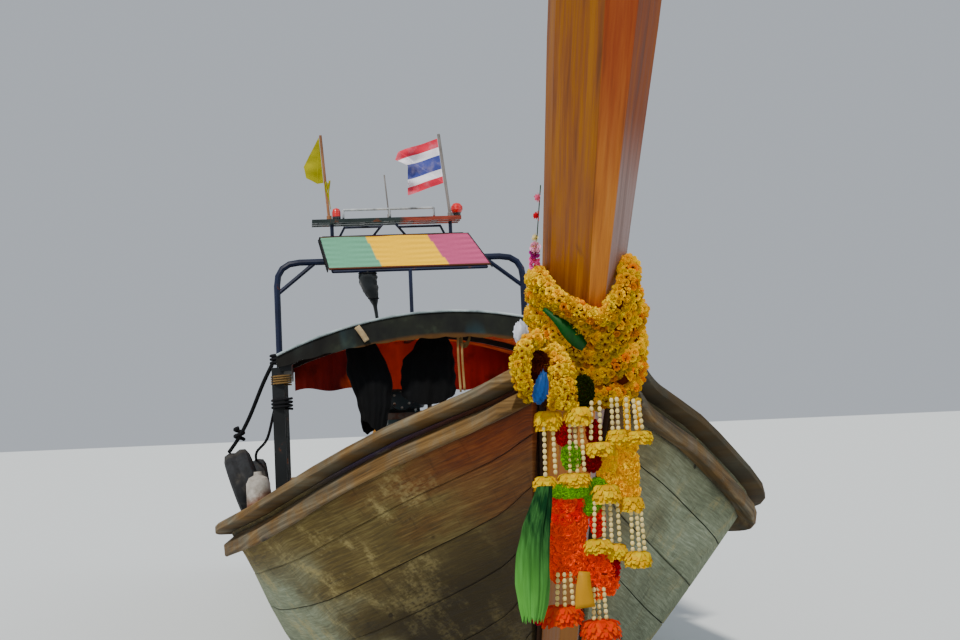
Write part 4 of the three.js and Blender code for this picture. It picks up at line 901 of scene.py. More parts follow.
# Hanging ropes: radius, then points.
HANGING_ROPES = (
    (0.036, (-0.125, -5.25, 1.47), (-0.112, -5.30, 1.43), (-0.107, -5.325, 1.38), (-0.107, -5.33, 1.325)),
    (0.021, (-0.160, -5.32, 1.512), (-0.190, -5.345, 1.502), (-0.208, -5.355, 1.485), (-0.219, -5.36, 1.458))
    + ((-0.2215, -5.365, 1.425), (-0.214, -5.365, 1.393), (-0.199, -5.36, 1.368), (-0.190, -5.355, 1.358)),
)


def add_wrap():
    """The garland ropes over a dark sheet that is painted shade between them, in two objects."""
    upper, lower = Pieces(), Pieces()
    for pieces, ropes in ((upper, UPPER_ROPES), (lower, LOWER_ROPES)):
        for radius, out, *stops in ropes:
            path = smooth_path([round_stem(math.radians(angle), z, out) for angle, z in stops], 7)
            # Each rope's dark colour under its heads is painted shade.
            flower_rope(pieces, path, radius, YELLOWS, shaded_core=(80, 34, 0))
    flower_cluster(lower, (-0.172, -5.30, 1.438), 0.028, 0.036, ((84, 36, 4), (60, 20, 4)), 0.012)
    for radius, *points in HANGING_ROPES:
        flower_rope(lower, smooth_path(points, 5), radius, (LEMON, LEMON, GOLD))
    foot, sides, rows = 1.33, 24, 7

    def shade_sheet_place(u, v):
        a = 2 * math.pi * u
        top = 1.67 - 0.17 * max(0.0, math.cos(a)) ** 0.8
        return round_stem(a, foot + (top - foot) * v, -0.06)

    # A dark sheet inside the ropes: painted shade seen through the gaps between them.
    upper.add(*grid(sides, rows, shade_sheet_place), light_of((44, 22, 2)))
    upper.make("garland_ropes_upper", PETALS)
    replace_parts(lower.make("garland_ropes_lower", PETALS), "garland_wrap")


# Garland ends: middle, height, half-width, half-height, colours.
ENDS = (
    (-0.149, 1.302, 0.040, 0.026, GOLDEN),
    (-0.072, 1.311, 0.040, 0.024, GOLDEN),
    (-0.165, 1.137, 0.034, 0.019, GOLDEN),
    (-0.089, 1.143, 0.048, 0.018, GOLDEN),
    (-0.014, 1.221, 0.046, 0.019, GOLDEN),
    (0.031, 1.251, 0.032, 0.019, GOLDEN),
    (0.087, 1.246, 0.042, 0.018, GOLDEN),
    (-0.009, 1.106, 0.043, 0.024, GOLDEN),
    (0.060, 1.073, 0.037, 0.020, GOLDEN),
    (-0.032, 0.968, 0.043, 0.019, GOLDEN),
    (0.011, 0.952, 0.036, 0.021, GOLDEN),
    (0.069, 0.931, 0.041, 0.020, GOLDEN),
    (-0.138, 0.795, 0.064, 0.026, FIERY),
    (-0.037, 0.755, 0.057, 0.026, FIERY),
)
# Hanging columns of flowers: middle, top, bottom, radius, head, upper and lower colours.
COLUMNS = (
    (-0.104, 1.100, 1.000, 0.043, 0.016, SCARLET, TANGERINE),
    (-0.112, 1.010, 0.895, 0.043, 0.017, TANGERINE, TANGERINE),
    (0.006, 1.217, 1.118, 0.024, 0.013, LEMON, GOLD),
    (0.060, 1.240, 1.090, 0.024, 0.013, LEMON, GOLD),
    (0.064, 1.350, 1.262, 0.006, 0.006, LEMON, GOLD),
    (0.094, 1.345, 1.262, 0.006, 0.006, LEMON, GOLD),
    (-0.029, 0.950, 0.850, 0.042, 0.017, (255, 78, 0), TANGERINE),
)
# Strings of buds: middle, top, bottom, lean.
STRINGS = (
    (-0.164, 1.285, 1.150, -0.002),
    (-0.140, 1.285, 1.155, 0.002),
    (-0.096, 1.290, 1.155, -0.004),
    (-0.082, 1.290, 1.155, 0.002),
    (-0.066, 1.290, 1.158, 0.004),
    (-0.036, 1.345, 1.240, -0.006),
    (-0.014, 1.345, 1.236, -0.002),
    (0.016, 1.350, 1.262, 0.000),
    (0.030, 1.352, 1.262, 0.001),
    (0.056, 1.350, 1.262, 0.000),
    (0.074, 1.345, 1.262, 0.006),
    (0.088, 1.340, 1.262, 0.008),
    (-0.040, 1.085, 0.985, -0.006),
    (-0.016, 1.085, 0.972, -0.002),
    (0.002, 1.082, 0.970, 0.000),
    (0.020, 1.080, 0.972, 0.002),
    (0.056, 1.055, 0.945, 0.000),
    (0.070, 1.055, 0.943, 0.003),
    (0.082, 1.052, 0.946, 0.006),
    (-0.144, 0.905, 0.815, -0.006),
    (-0.128, 0.905, 0.812, -0.002),
    (-0.112, 0.905, 0.815, 0.004),
    (-0.052, 0.862, 0.775, -0.004),
    (-0.039, 0.862, 0.772, 0.000),
    (-0.026, 0.862, 0.775, 0.004),
)
# Small bunches between the strings: middle, height, half-width, half-height, colour.
BUNCHES = (
    (-0.112, 1.262, 0.014, 0.026, (150, 10, 20)),
    (-0.030, 1.262, 0.012, 0.024, (120, 8, 14)),
    (-0.040, 1.185, 0.018, 0.020, (120, 10, 14)),
    (-0.092, 1.200, 0.018, 0.030, LEAF),
    (-0.103, 1.112, 0.044, 0.014, (128, 190, 10)),
    (-0.044, 1.078, 0.018, 0.028, (110, 176, 14)),
    (-0.026, 1.120, 0.016, 0.014, LEAF),
    (-0.030, 1.030, 0.012, 0.036, (206, 20, 24)),
    (0.006, 0.915, 0.010, 0.030, (150, 22, 50)),
    (-0.186, 0.790, 0.022, 0.014, (150, 14, 60)),
    (-0.052, 1.370, 0.020, 0.034, (34, 42, 8)),
)


# How far forward the hanging flowers are: the ends, the columns, the bud strings and the bunches.
END_PLACE, COLUMN_PLACE, STRING_PLACE, BUNCH_PLACE = -5.325, -5.305, -5.345, -5.325


def add_tassels():
    pieces = Pieces()
    for k, (x, z, half, tall, colours) in enumerate(ENDS):
        petal_skirt(pieces, (x, END_PLACE - 0.012 * (k % 2), z), half, tall, colours)
    for x, top, bottom, radius, size, upper, lower in COLUMNS:
        rows = int((top - bottom) / (size * 0.85))
        # Each column's middle is its colour darkened: painted shade between the heads.
        shaded_core = tube([(x, COLUMN_PLACE, top), (x, COLUMN_PLACE, bottom)], radius * 0.7, 10)
        pieces.add(*shaded_core, shade_of(upper) * 0.4)
        for row in range(rows):
            share = (row + 0.5) / rows
            z = top + (bottom - top) * share
            count = int(2 * math.pi * radius / (size * 1.3))
            for k in range(count):
                angle = 2 * math.pi * (k + 0.5 * (row % 2) + rng.uniform(-0.2, 0.2)) / count
                outward = np.array((math.cos(angle), math.sin(angle), rng.uniform(-0.5, 0.3)))
                place = np.array((x, COLUMN_PLACE, z)) + outward * (radius - size * 0.5)
                colour = shade_of(upper if rng.random() > share else lower)
                add_head(pieces, place, outward, size * rng.uniform(0.85, 1.15), colour)
    for x, top, bottom, lean in STRINGS:
        bud_string(pieces, x, STRING_PLACE + rng.uniform(-0.006, 0.006), top, bottom, lean)
    for x, z, half, tall, colour in BUNCHES:
        flower_cluster(pieces, (x, BUNCH_PLACE, z), half, tall, (colour,), head=0.01)
    tassels = pieces.make("garland_ends", PETALS)
    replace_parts(tassels, "garland_tassels")


def add_side_flowers():
    """Pink, red and white flowers strung up the stem's starboard edge."""
    pieces = Pieces()
    aft, edge = 0.24, -0.137
    for z, colour in (
        (1.889, (232, 120, 170)),
        (1.845, (196, 30, 56)),
        (1.79, (236, 226, 190)),
        (1.765, (240, 214, 60)),
    ):
        add_head(pieces, (edge, nose_y(z) + aft, z), (-1, 0, 0.1), 0.014, light_of(colour))
    for z in (1.735, 1.75, 1.765, 1.72):
        colour = light_of(rng.choice(((226, 100, 190), (150, 30, 140), (240, 180, 226))))
        add_head(pieces, (-0.142, nose_y(z) + 0.23, z), (-0.6, -0.8, 0.1), 0.016, colour)
    string = [(edge, nose_y(1.92) + aft, 1.92), (-0.14, nose_y(1.7) + 0.235, 1.7)]
    pieces.add(*tube(string, 0.0015, 5), (0.02, 0.05, 0.01))
    pieces.make("side_flowers", PETALS)


def ribbon(path, wide, normal_of):
    """A flat band along a path, with its width across the given outward directions."""
    tangents, _, _ = path_frames(path)
    points, faces = [], []
    thick = 0.0015
    for i, (p, t) in enumerate(zip(path, tangents)):
        n = np.asarray(normal_of(i / (len(path) - 1)), dtype=float)
        side = np.cross(t, n)
        side /= np.linalg.norm(side)
        w = wide(i / (len(path) - 1)) / 2
        points += [p - side * w, p + side * w, p + side * w + n * thick, p - side * w + n * thick]
        if i:
            b = len(points) - 8
            faces += [(b + k, b + (k + 1) % 4, b + 4 + (k + 1) % 4, b + 4 + k) for k in range(4)]
    last = len(points) - 4
    return np.array(points), [(3, 2, 1, 0), (last, last + 1, last + 2, last + 3)] + faces


def satin(name, colour, fold=14.0):
    f = Finish(name, rough=0.55, specular=0.2)
    creases = f.noise(fold, f.stretch((1, 1, 0.3)), detail=3)
    # Painted shade and highlight: the colour is darker in the creases and lighter on their crests.
    f.colour(f.ramp(creases, (0.3, scaled(colour, 0.45)), (0.5, colour), (0.75, scaled(colour, 1.15))))
    f.bump(creases, 0.01, 0.6)
    return f


def add_ribbons():
    stops = ((-0.139, 1.592), (-0.103, 1.557), (-0.078, 1.530), (-0.052, 1.503), (-0.034, 1.486))
    green = smooth_path([in_front(x, z, 0.014) for x, z in stops], 5)

    def wide(t):
        return 0.012 + 0.03 * math.sin(0.8 * math.pi * t) ** 1.5

    band = ribbon(green, wide, lambda t: (-0.5 + 0.4 * t, -1, 0.35))
    strip = Pieces().add(*band).make("green_ribbon", satin("green_satin", (4, 58, 16)))
    radius, tall, x, z = 0.021, 2.0, -0.173, 1.384
    points, faces = crumple(radius, (x, -5.39, z), (0.95, 0.8, tall), 1.3)
    # The knot narrows and leans to port towards its top.
    up = (points[:, 2] - z) / (radius * tall)
    points[:, 0] = x + (points[:, 0] - x) * (0.95 - 0.3 * up) + 0.008 * up
    blue = Pieces().add(points, faces).make("blue_knot", satin("blue_satin", (8, 56, 104), fold=40))
    crumpled = crumple(0.022, (-0.207, -5.30, 1.528), (0.9, 0.8, 1.5), 3.1)
    white = Pieces().add(*crumpled).make("white_knot", satin("white_satin", (206, 210, 222)))
    fall = [(-0.079, -5.372, 0.905), (-0.083, -5.376, 0.86), (-0.081, -5.374, 0.812)]
    band = ribbon(smooth_path(fall, 4), lambda t: 0.03 + 0.024 * t, lambda t: (0.1, -1, 0))
    strip = Pieces().add(*band).make("yellow_ribbon", satin("yellow_satin", (150, 112, 0)))


# The tulle bundle's outline: height, middle, half-width.
TULLE_OUTLINE = (
    (0.79, -0.224, 0.024),
    (0.83, -0.222, 0.034),
    (0.884, -0.219, 0.040),
    (0.961, -0.213, 0.040),
    (1.032, -0.203, 0.033),
    (1.130, -0.176, 0.018),
)


def add_tulle():
    """The gathered tulle tail at the starboard side of the garlands: one soft bundle of folds."""
    heights, middles, halves = np.array(TULLE_OUTLINE).T
    top, tall = 1.13, 0.335

    def place(u, v):
        a = 2 * math.pi * u
        z = top - tall * v
        folds = 1 + 0.10 * math.sin(9 * a + 2.5 * v)
        folds += 0.05 * math.sin(21 * a - 3 * v) + 0.05 * math.sin(5 * a + 9 * v)
        half = np.interp(z, heights, halves) * folds
        x = np.interp(z, heights, middles) + half * math.cos(a)
        ragged = 0.006 * v**6 * (math.sin(37 * a) + math.sin(14 * a + 1))
        return (x, -5.40 + 0.75 * half * math.sin(a) - 0.01 * v, z + ragged)

    points, faces = grid(150, 50, place)
    across = (points[:, 0] + 0.26) / 0.12
    down = (top - points[:, 2]) / tall
    dark, light = light_of((0, 40, 18)), light_of((84, 138, 66))
    share = np.clip(down * 1.35 - across * 0.7 - 0.12, 0, 1)[:, None]
    f = Finish("tulle", rough=0.8, specular=0.1)
    weave = f.noise(60, f.stretch((1, 1, 0.12)), detail=3)
    f.colour(f.mix(f.band(weave, 0.4, 0.75, 0.0, 0.3), f.attribute("tint"), (100, 158, 88)))
    f.bump(weave, 0.003, 0.4)
    tulle = Pieces().add(points, faces, dark + (light - dark) * share).make("tulle", f)
    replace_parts(tulle, "tulle_tail")


add_wrap()
add_tassels()
add_side_flowers()
add_ribbons()
add_tulle()

# The canopy, from its CAD frame: the roof line is a parabola between the edges and the crown.
COVER_LOW, COVER_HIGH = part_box("canopy_cover")
CANOPY_HALF, CANOPY_EDGE, CANOPY_RISE = 0.895, 1.64, 0.2
CANOPY_FRONT, CANOPY_BACK = COVER_LOW[1], COVER_HIGH[1]
HOOP_GAP, FIRST_HOOP = 1.1, -0.55


def roof(x):
    return CANOPY_EDGE + CANOPY_RISE * (1 - (x / CANOPY_HALF) ** 2)


def sag(y):
    """How far cloth hangs between the hoops: 0 over each and 1 midway."""
    return math.sin(math.pi * (y - FIRST_HOOP) / HOOP_GAP) ** 2


def cloth_finish(name, colours, rough=0.88, stain=(40, 38, 30), dirt=0.4, sheen=0.2):
    """Worn cloth: broad fading, a fine weave and stains."""
    f = Finish(name, rough=rough, specular=0.2, sheen=sheen)
    fade = f.noise(5, detail=6, rough=0.6)
    threads = f.times(f.wave(260), f.wave(260, direction="Z"))
    dark, middle, light = colours
    base = f.ramp(fade, (0.32, dark), (0.5, middle), (0.7, light))
    marks = f.times(f.band(f.noise(3.1, detail=7, rough=0.7), 0.52, 0.7), dirt)
    f.colour(f.mix(marks, base, stain))
    f.bump(threads, 0.0006, 0.4)
    f.bump(f.noise(18, detail=4), 0.006, 0.35)
    return f


def rope_finish(name, colour):
    f = Finish(name, rough=0.9, specular=0.15)
    twist = f.wave(110, f.vector(f.axis("X"), f.axis("Y"), f.times(f.axis("Z"), 1.6)), direction="DIAGONAL")
    f.colour(f.ramp(twist, (0.2, scaled(colour, 0.5)), (0.7, colour)))
    f.bump(twist, 0.002, 0.6)
    return f


ROPE = rope_finish("tan_rope", (138, 112, 74))
BLACK_ROPE = rope_finish("black_rope", (26, 27, 30))


def valance_finish():
    """Near-black cloth with faded blue patches and a brown hem that follows the arched edge."""
    f = Finish("valance_cloth", rough=0.85, specular=0.25, sheen=0.2)
    arch = f.times(f.math("POWER", f.math("DIVIDE", f.axis("X"), CANOPY_HALF), 2.0), CANOPY_RISE)
    depth = f.minus(CANOPY_EDGE + CANOPY_RISE, f.plus(f.axis("Z"), arch))
    cloth = f.ramp(f.noise(7, detail=5), (0.36, (6, 8, 7)), (0.55, (22, 25, 19)), (0.78, (58, 66, 52)))
    patches = f.band(f.noise(5, f.stretch((1, 1, 0.4)), detail=2), 0.55, 0.66)
    tinted = f.mix(f.times(patches, 0.35), cloth, (30, 60, 70))
    tinted = f.mix(f.band(f.axis("X"), -0.5, -0.8, 0.0, 0.8), tinted, (9, 7, 5))
    f.colour(f.mix(f.band(depth, 0.098, 0.118), tinted, (72, 48, 14)))
    f.bump(f.noise(30, f.stretch((1, 1, 0.3)), detail=4), 0.004, 0.4)
    return f


def add_canopy():
    canvas = cloth_finish("canvas", ((10, 14, 13), (28, 35, 31), (54, 64, 56)), stain=(14, 16, 15), dirt=0.6)
    oranges = ((128, 34, 8), (206, 74, 16), (232, 128, 40))
    lining = cloth_finish("lining", oranges, stain=(70, 22, 10), dirt=0.5, sheen=0.0)
    # Painted light: the lining glows orange, as if lit through the canvas.
    lining.glow((160, 70, 20), 0.06)
    length = CANOPY_BACK - CANOPY_FRONT
    flap = 0.045
    reach = CANOPY_HALF + 0.012

    def cover_place(u, v):
        s = 2 * u - 1
        y = CANOPY_FRONT + length * v
        hang = max(0.0, abs(s) - 0.95) / 0.05
        x = math.copysign(min(abs(s) / 0.95, 1.0) * reach, s)
        slack = 0.016 * sag(y) * (1 - 0.6 * s * s) * (1 - hang)
        z = roof(x) + 0.011 - slack - flap * hang + 0.002 * ripple(y, (1, 3.1, u * 9), (1, 7.3, u * 5))
        return (x + math.copysign(0.004, s) * hang * math.sin(34 * y), y, z)

    cover = Pieces().add(*grid(64, 110, cover_place)).make("canopy_canvas", canvas)
    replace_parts(cover, "canopy_cover")

    def lining_place(u, v):
        x = (2 * u - 1) * (CANOPY_HALF - 0.012)
        y = CANOPY_FRONT + 0.03 + (length - 0.05) * v
        slack = 0.03 * sag(y) * (1 - 0.5 * (2 * u - 1) ** 2)
        return (x, y, roof(x) + 0.002 - slack + 0.004 * math.sin(23 * y + 9 * u))

    under = Pieces().add(*grid(48, 110, lining_place)).make("canopy_lining", lining)

    def valance_place(u, v):
        x = (2 * u - 1) * reach
        deep = 0.062 + 0.075 * (1 - (x / reach) ** 2)
        fold = ripple(u, (0.006, 9, 0.4), (0.004, 23, 1.0)) * v
        scallop = 0.008 * abs(math.sin(math.pi * 14 * u)) * v
        return (x, CANOPY_FRONT - 0.006 + fold, roof(x) + 0.012 - deep * v - scallop)

    valance = Pieces().add(*grid(160, 10, valance_place)).make("canopy_valance", valance_finish())

    # A pale cord along the canopy's front edge, its pale colour a painted highlight.
    edge = [(x, CANOPY_FRONT - 0.008, roof(x) + 0.013) for x in np.linspace(-reach, reach, 41)]
    cord = cloth_finish("highlight_piping", ((70, 82, 84), (150, 162, 166), (196, 204, 206)), dirt=0.3)
    Pieces().add(*tube(edge, 0.007, 8)).make("canopy_piping", cord)


def add_curtain():
    """The rear curtain, patched from red, maroon and orange cloth."""
    low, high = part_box("canopy_curtain")
    half = high[0] - 0.002
    middle = (low[1] + high[1]) / 2

    def place(u, v):
        x = (2 * u - 1) * half
        top = roof(x) + 0.008
        bottom = 1.475 + 0.02 * math.sin(6 * u + 1) + 0.012 * math.sin(31 * u)
        fold = ripple(u, (0.008, 13, 0.3), (0.004, 31, 1.1)) * (0.4 + 0.6 * v)
        return (x, middle + fold, top + (bottom - top) * v)

    points, faces = grid(170, 20, place)
    f = Finish("curtain_cloth", rough=0.9, specular=0.15, sheen=0.2)
    across = f.plus(f.axis("X"), f.times(f.noise(3, f.stretch((1, 1, 1.2))), 0.5))
    cloth = f.ramp(
        f.band(across, -0.6, 1.1),
        (0.0, (116, 30, 22)),
        (0.12, (86, 18, 20)),
        (0.2, (206, 92, 26)),
        (0.3, (160, 44, 14)),
        (0.42, (196, 60, 16)),
        (0.62, (140, 26, 10)),
        (0.72, (204, 50, 14)),
        (1.0, (120, 16, 8)),
    )
    f.colour(f.mix(f.band(f.noise(7, detail=6), 0.5, 0.72, 0.0, 0.6), cloth, (48, 12, 8)))
    curtain = Pieces().add(points, faces).make("rear_curtain", f)
    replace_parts(curtain, "canopy_curtain")


def add_hung_cloth(node, name, phase, outline):
    """A black garment hung by its collar: a closed tube of cloth with deep folds and a ragged foot."""
    low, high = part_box(node)
    tall = high[2] - low[2]
    y = (low[1] + high[1]) / 2
    shares, lefts, rights = np.array(outline).T

    def place(u, v):
        a = 2 * math.pi * u
        left, right = np.interp(v, shares, lefts), np.interp(v, shares, rights)
        left += 0.003 * math.sin(31 * v + phase)
        right += 0.003 * math.sin(27 * v + 2 * phase)
        folds = 1 + 0.06 * math.sin(9 * a + phase + 3 * v) + 0.04 * math.sin(17 * a + 5 * v)
        x = (left + right) / 2 + (right - left) / 2 * math.cos(a) * (0.96 + 0.04 * folds)
        deep = (0.02 + 0.035 * min(1.0, 2 * v)) * folds
        foot = 1 - v**4 * (0.05 + 0.07 * math.sin(2 * a + phase) + 0.006 * math.sin(11 * a))
        return (x, y + deep * math.sin(a), high[2] + 0.03 - (tall + 0.03) * v * foot)

    finish = cloth_finish(name + "_cloth", ((1, 1, 2), (3, 4, 6), (9, 10, 14)), dirt=0.0, sheen=0.0)
    cloth = Pieces().add(*grid(110, 50, place)).make(name, finish)
    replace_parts(cloth, node)


add_canopy()
add_curtain()
# Both outlines' columns are the share of the drop, and the starboard and port edges there.
add_hung_cloth(
    "hanging_cloth_starboard",
    "hung_jacket",
    0.4,
    ((0, -0.505, -0.395), (0.12, -0.53, -0.35), (0.4, -0.532, -0.29), (0.55, -0.50, -0.285))
    + ((0.75, -0.475, -0.30), (1, -0.46, -0.33)),
)
add_hung_cloth(
    "hanging_cloth_port",
    "hung_coat",
    1.7,
    ((0, -0.12, 0.03), (0.2, -0.17, 0.055), (0.35, -0.225, 0.06), (0.6, -0.237, 0.065), (1, -0.235, 0.062)),
)


# The awning: a laced cloth in three pale stripes over the steersman's frame.
AWNING_LOW, AWNING_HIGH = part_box("awning_panel")
AWNING_FRONT, AWNING_BACK = (0.05, 0.596), (-0.04, 0.56)


def awning_point(u, v, lift=0.0):
    middle = AWNING_FRONT[0] + (AWNING_BACK[0] - AWNING_FRONT[0]) * v
    half = AWNING_FRONT[1] + (AWNING_BACK[1] - AWNING_FRONT[1]) * v
    y = AWNING_LOW[1] + (AWNING_HIGH[1] - AWNING_LOW[1]) * v
    z = AWNING_LOW[2] + (AWNING_HIGH[2] - 0.012 - AWNING_LOW[2]) * v
    return (middle + (2 * u - 1) * half, y, z + lift)


def add_awning():
    across, along = 96, 44

    def place(u, v):
        slack = 0.012 * math.sin(math.pi * u) * math.sin(math.pi * v)
        edge = 0.006 * (abs(math.sin(22 * math.pi * v)) if u in (0.0, 1.0) else 0.0)
        x, y, z = awning_point(u, v, 0.008 - slack + 0.002 * math.sin(17 * u + 5 * v))
        return (x + (edge if u == 0.0 else -edge), y, z)

    points, faces = grid(across, along, place)
    f = Finish("awning_cloth", rough=0.85, specular=0.1)
    f.colour(f.attribute("tint"))
    lines = f.wave(60, direction="Y")
    f.bump(lines, 0.001, 0.3)
    stripes = (((108, 158, 134), 0.318), ((240, 192, 0), 0.735), ((170, 86, 118), 2.0))
    tints = []
    # The stripes change over a little further to port towards the front.
    for j in range(along + 1):
        for i in range(across + 1):
            u, v = i / across, j / along
            colour = next(c for c, end in stripes if u + 0.02 * (v - 0.5) < end)
            worn = 0.9 + 0.12 * math.sin(40 * v) * math.sin(9 * u + 2) + rng.uniform(-0.03, 0.03)
            tints.append(light_of(colour) * worn)
    cloth = Pieces().add(points, faces, np.array(tints)).make("awning_cloth", f)
    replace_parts(cloth, "awning_panel")
    hem = Pieces()
    for v, radius in ((0.0, 0.009), (1.0, 0.006)):
        hem.add(*tube([awning_point(k / 30, v, 0.004) for k in range(31)], radius, 7))
    hem_piece = hem.make("awning_hem", Finish("hem_cloth", rough=0.85).colour((74, 40, 26)))
    lace = Pieces()
    for u in (0.0, 1.0):
        out = -0.012 if u == 0 else 0.012
        path = []
        for k in range(along + 1):
            x, y, z = awning_point(u, k / along)
            path.append((x + out * (1 - k % 2), y, z + (0.014 if k % 2 else -0.02)))
        lace.add(*tube(path, 0.0045, 5))
    lace.make("awning_lacing", Finish("lacing_cord", rough=0.8).colour((24, 24, 26)))


def add_furled_bundle():
    """A rolled black tarpaulin tied under the awning's front edge."""
    drop = [(-0.262, 2.78, 2.375), (-0.258, 2.78, 2.27), (-0.225, 2.77, 2.15), (-0.205, 2.77, 2.0)]
    path = smooth_path(drop, 8)
    shares, sizes = (0, 0.2, 0.5, 0.7, 0.8, 1), (0.05, 0.068, 0.055, 0.03, 0.014, 0.012)
    radii = np.interp(np.linspace(0, 1, len(path)), shares, sizes)
    sides = 20
    points, faces = tube(path, radii, sides)
    centre = np.repeat(path, sides, axis=0)
    spots = np.arange(len(points))
    wrinkle = 1 + 0.1 * np.sin(9 * (spots % sides) + spots // sides)[:, None]
    finish = cloth_finish("tarpaulin", ((6, 9, 11), (16, 21, 24), (34, 40, 44)), rough=0.6)
    bundle = Pieces().add(centre + (points - centre) * wrinkle, faces).make("furled_tarpaulin", finish)
    ties = Pieces()
    for k in (3, 16):
        reach = radii[k] * 1.08
        ties.add(*tube(hoop(path[k], (reach, 0, 0), (0, reach, 0), 14), 0.005, 6, closed=True))
    ties.make("tarpaulin_ties", BLACK_ROPE)


add_awning()
add_furled_bundle()


def flag_sheet(node, wind, finish):
    """A flag: the CAD plate's own outline, as one thin cloth with waves growing towards the fly."""
    low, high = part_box(node)
    middle = (low[1] + high[1]) / 2
    front = [v.co for v in NODES[node].data.vertices if v.co.y < middle]
    centre = sum(front, Vector()) / len(front)
    made = bmesh.new()
    outline = sorted(front, key=lambda p: math.atan2(p.z - centre.z, p.x - centre.x))
    made.faces.new([made.verts.new((p.x, middle, p.z)) for p in outline])
    bmesh.ops.triangulate(made, faces=made.faces[:])
    for _ in range(5):
        bmesh.ops.subdivide_edges(made, edges=made.edges[:], cuts=1, use_grid_fill=True)
    for v in made.verts:
        away = max(0.0, high[0] - v.co.x)
        v.co.y += wind * away * math.sin(26 * away + 7 * v.co.z) + 0.3 * wind * away * math.sin(55 * v.co.z)
    pieces = Pieces()
    pieces.add([v.co[:] for v in made.verts], [tuple(v.index for v in f.verts) for f in made.faces])
    made.free()
    flag = pieces.make(node + "_cloth", finish)
    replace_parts(flag, node)


def add_flags():
    silks = ((112, 106, 0), (138, 134, 0), (160, 152, 6))
    yellow = cloth_finish("pennant_silk", silks, dirt=0.15, rough=0.8, sheen=0.0)
    flag_sheet("pennant", 0.16, yellow)
    f = Finish("striped_cloth", rough=0.75, specular=0.2, sheen=0.2)
    _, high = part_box("national_flag")
    away = f.minus(high[0], f.axis("X"))
    drop = f.minus(high[2], f.axis("Z"))
    share = f.math("DIVIDE", f.minus(drop, f.times(away, 0.30)), 0.343)
    red, white, blue = (186, 44, 68), (232, 230, 238), (62, 70, 132)
    stripes = (0.0, red), (0.17, white), (0.35, blue), (0.67, white), (0.84, red)
    bars = f.ramp(share, *stripes, kind="CONSTANT")
    fading = f.band(f.noise(14, detail=6), 0.45, 0.75, 0.0, 0.35)
    f.colour(f.mix(fading, bars, (176, 164, 176)))
    f.bump(f.noise(40, detail=3), 0.003, 0.4)
    flag_sheet("national_flag", 0.12, f)
    shreds = Pieces()
    for k, (x, top, bottom) in enumerate(((-0.508, 3.08, 2.86), (-0.52, 3.06, 2.92), (-0.533, 3.07, 2.97))):
        middle = (x - 0.012, 3.12, (top + bottom) / 2)
        path = smooth_path([(x, 3.13, top), middle, (x + 0.004 * k, 3.135, bottom)], 6)
        shreds.add(*ribbon(path, lambda t: 0.016 - 0.012 * t, lambda t: (0.3 * math.sin(6 * t), -1, 0)))
    rags = shreds.make("pennant_shreds", yellow)


def painted(name, paint, amount, worn=(96, 56, 34), rough=0.45, metal=0.0):
    """Painted steel, dusty, and chipped to rust in patches by an amount from 0 to 1."""
    f = Finish(name, rough=rough, metal=metal, specular=0.3)
    patch = f.noise(9, detail=8, rough=0.7)
    chips = f.band(patch, 0.66 - 0.2 * amount, 0.72 - 0.2 * amount)
    rust = f.ramp(f.noise(45, detail=6, rough=0.7), (0.3, scaled(worn, 0.5)), (0.7, worn))
    light = tuple(min(255, int(c * 1.35 + 10)) for c in paint)
    dust = f.ramp(f.noise(4.5, detail=5), (0.35, paint), (0.75, light))
    f.colour(f.mix(chips, dust, rust))
    f.rough(f.plus(f.times(chips, 0.35), rough))
    f.bump(f.times(chips, -1.0), 0.0012, 0.5)
    f.bump(f.noise(72, detail=4), 0.0008, 0.4)
    return f


def blackened_toward_fan(f):
    """A finish blackened toward the engine's fan end."""
    ragged = f.times(f.noise(6, detail=5, rough=0.6), 0.3)
    blackening = f.band(f.plus(f.axis("Y"), ragged), 4.3, 3.9)
    return f.coat_over(f.times(blackening, 0.88), (13, 12, 11))


def rack_finish():
    """The rack: a board, green-black to starboard and red-brown to port, with a pale painted highlight along
    its top.
    """
    f = painted("rack_paint", (22, 30, 30), 0.5)
    split = f.band(f.axis("X"), 0.0, 0.06)
    brown = f.ramp(f.noise(20, f.stretch((0.3, 2, 2)), detail=5), (0.3, (60, 22, 16)), (0.7, (128, 62, 48)))
    # Painted highlight: a pale silver band along the rack's top.
    upper = f.band(f.axis("Z"), 2.775, 2.79)
    top_highlight = f.ramp(f.noise(9, detail=5), (0.35, (92, 96, 100)), (0.7, (196, 200, 204)))
    return f.coat_over(split, brown).coat_over(upper, top_highlight)


def lamp_finish(name, foot):
    """A beacon: a black foot and a ribbed red lens."""
    f = Finish(name, rough=0.25, specular=0.6, coat=0.3)
    lens = f.band(f.axis("Z"), foot, foot + 0.003)
    grime = f.band(f.noise(30, detail=5), 0.5, 0.75, 0.0, 0.5)
    red = f.mix(grime, (176, 12, 12), (70, 8, 8))
    f.colour(f.mix(lens, (22, 22, 24), red))
    f.bump(f.wave(24, direction="Z"), 0.002, 0.5)
    return f


def rubber_finish():
    f = Finish("tyre_rubber", rough=0.78, specular=0.35)
    dust = f.band(f.noise(6, detail=7, rough=0.7), 0.5, 0.75, 0.0, 0.6)
    black = f.ramp(f.noise(30, detail=5), (0.3, (12, 13, 15)), (0.7, (34, 36, 40)))
    f.colour(f.mix(dust, black, (92, 86, 76)))
    f.bump(f.noise(45, detail=4), 0.0015, 0.5)
    f.bump(f.wave(16, direction="Y"), 0.002, 0.4)
    return f


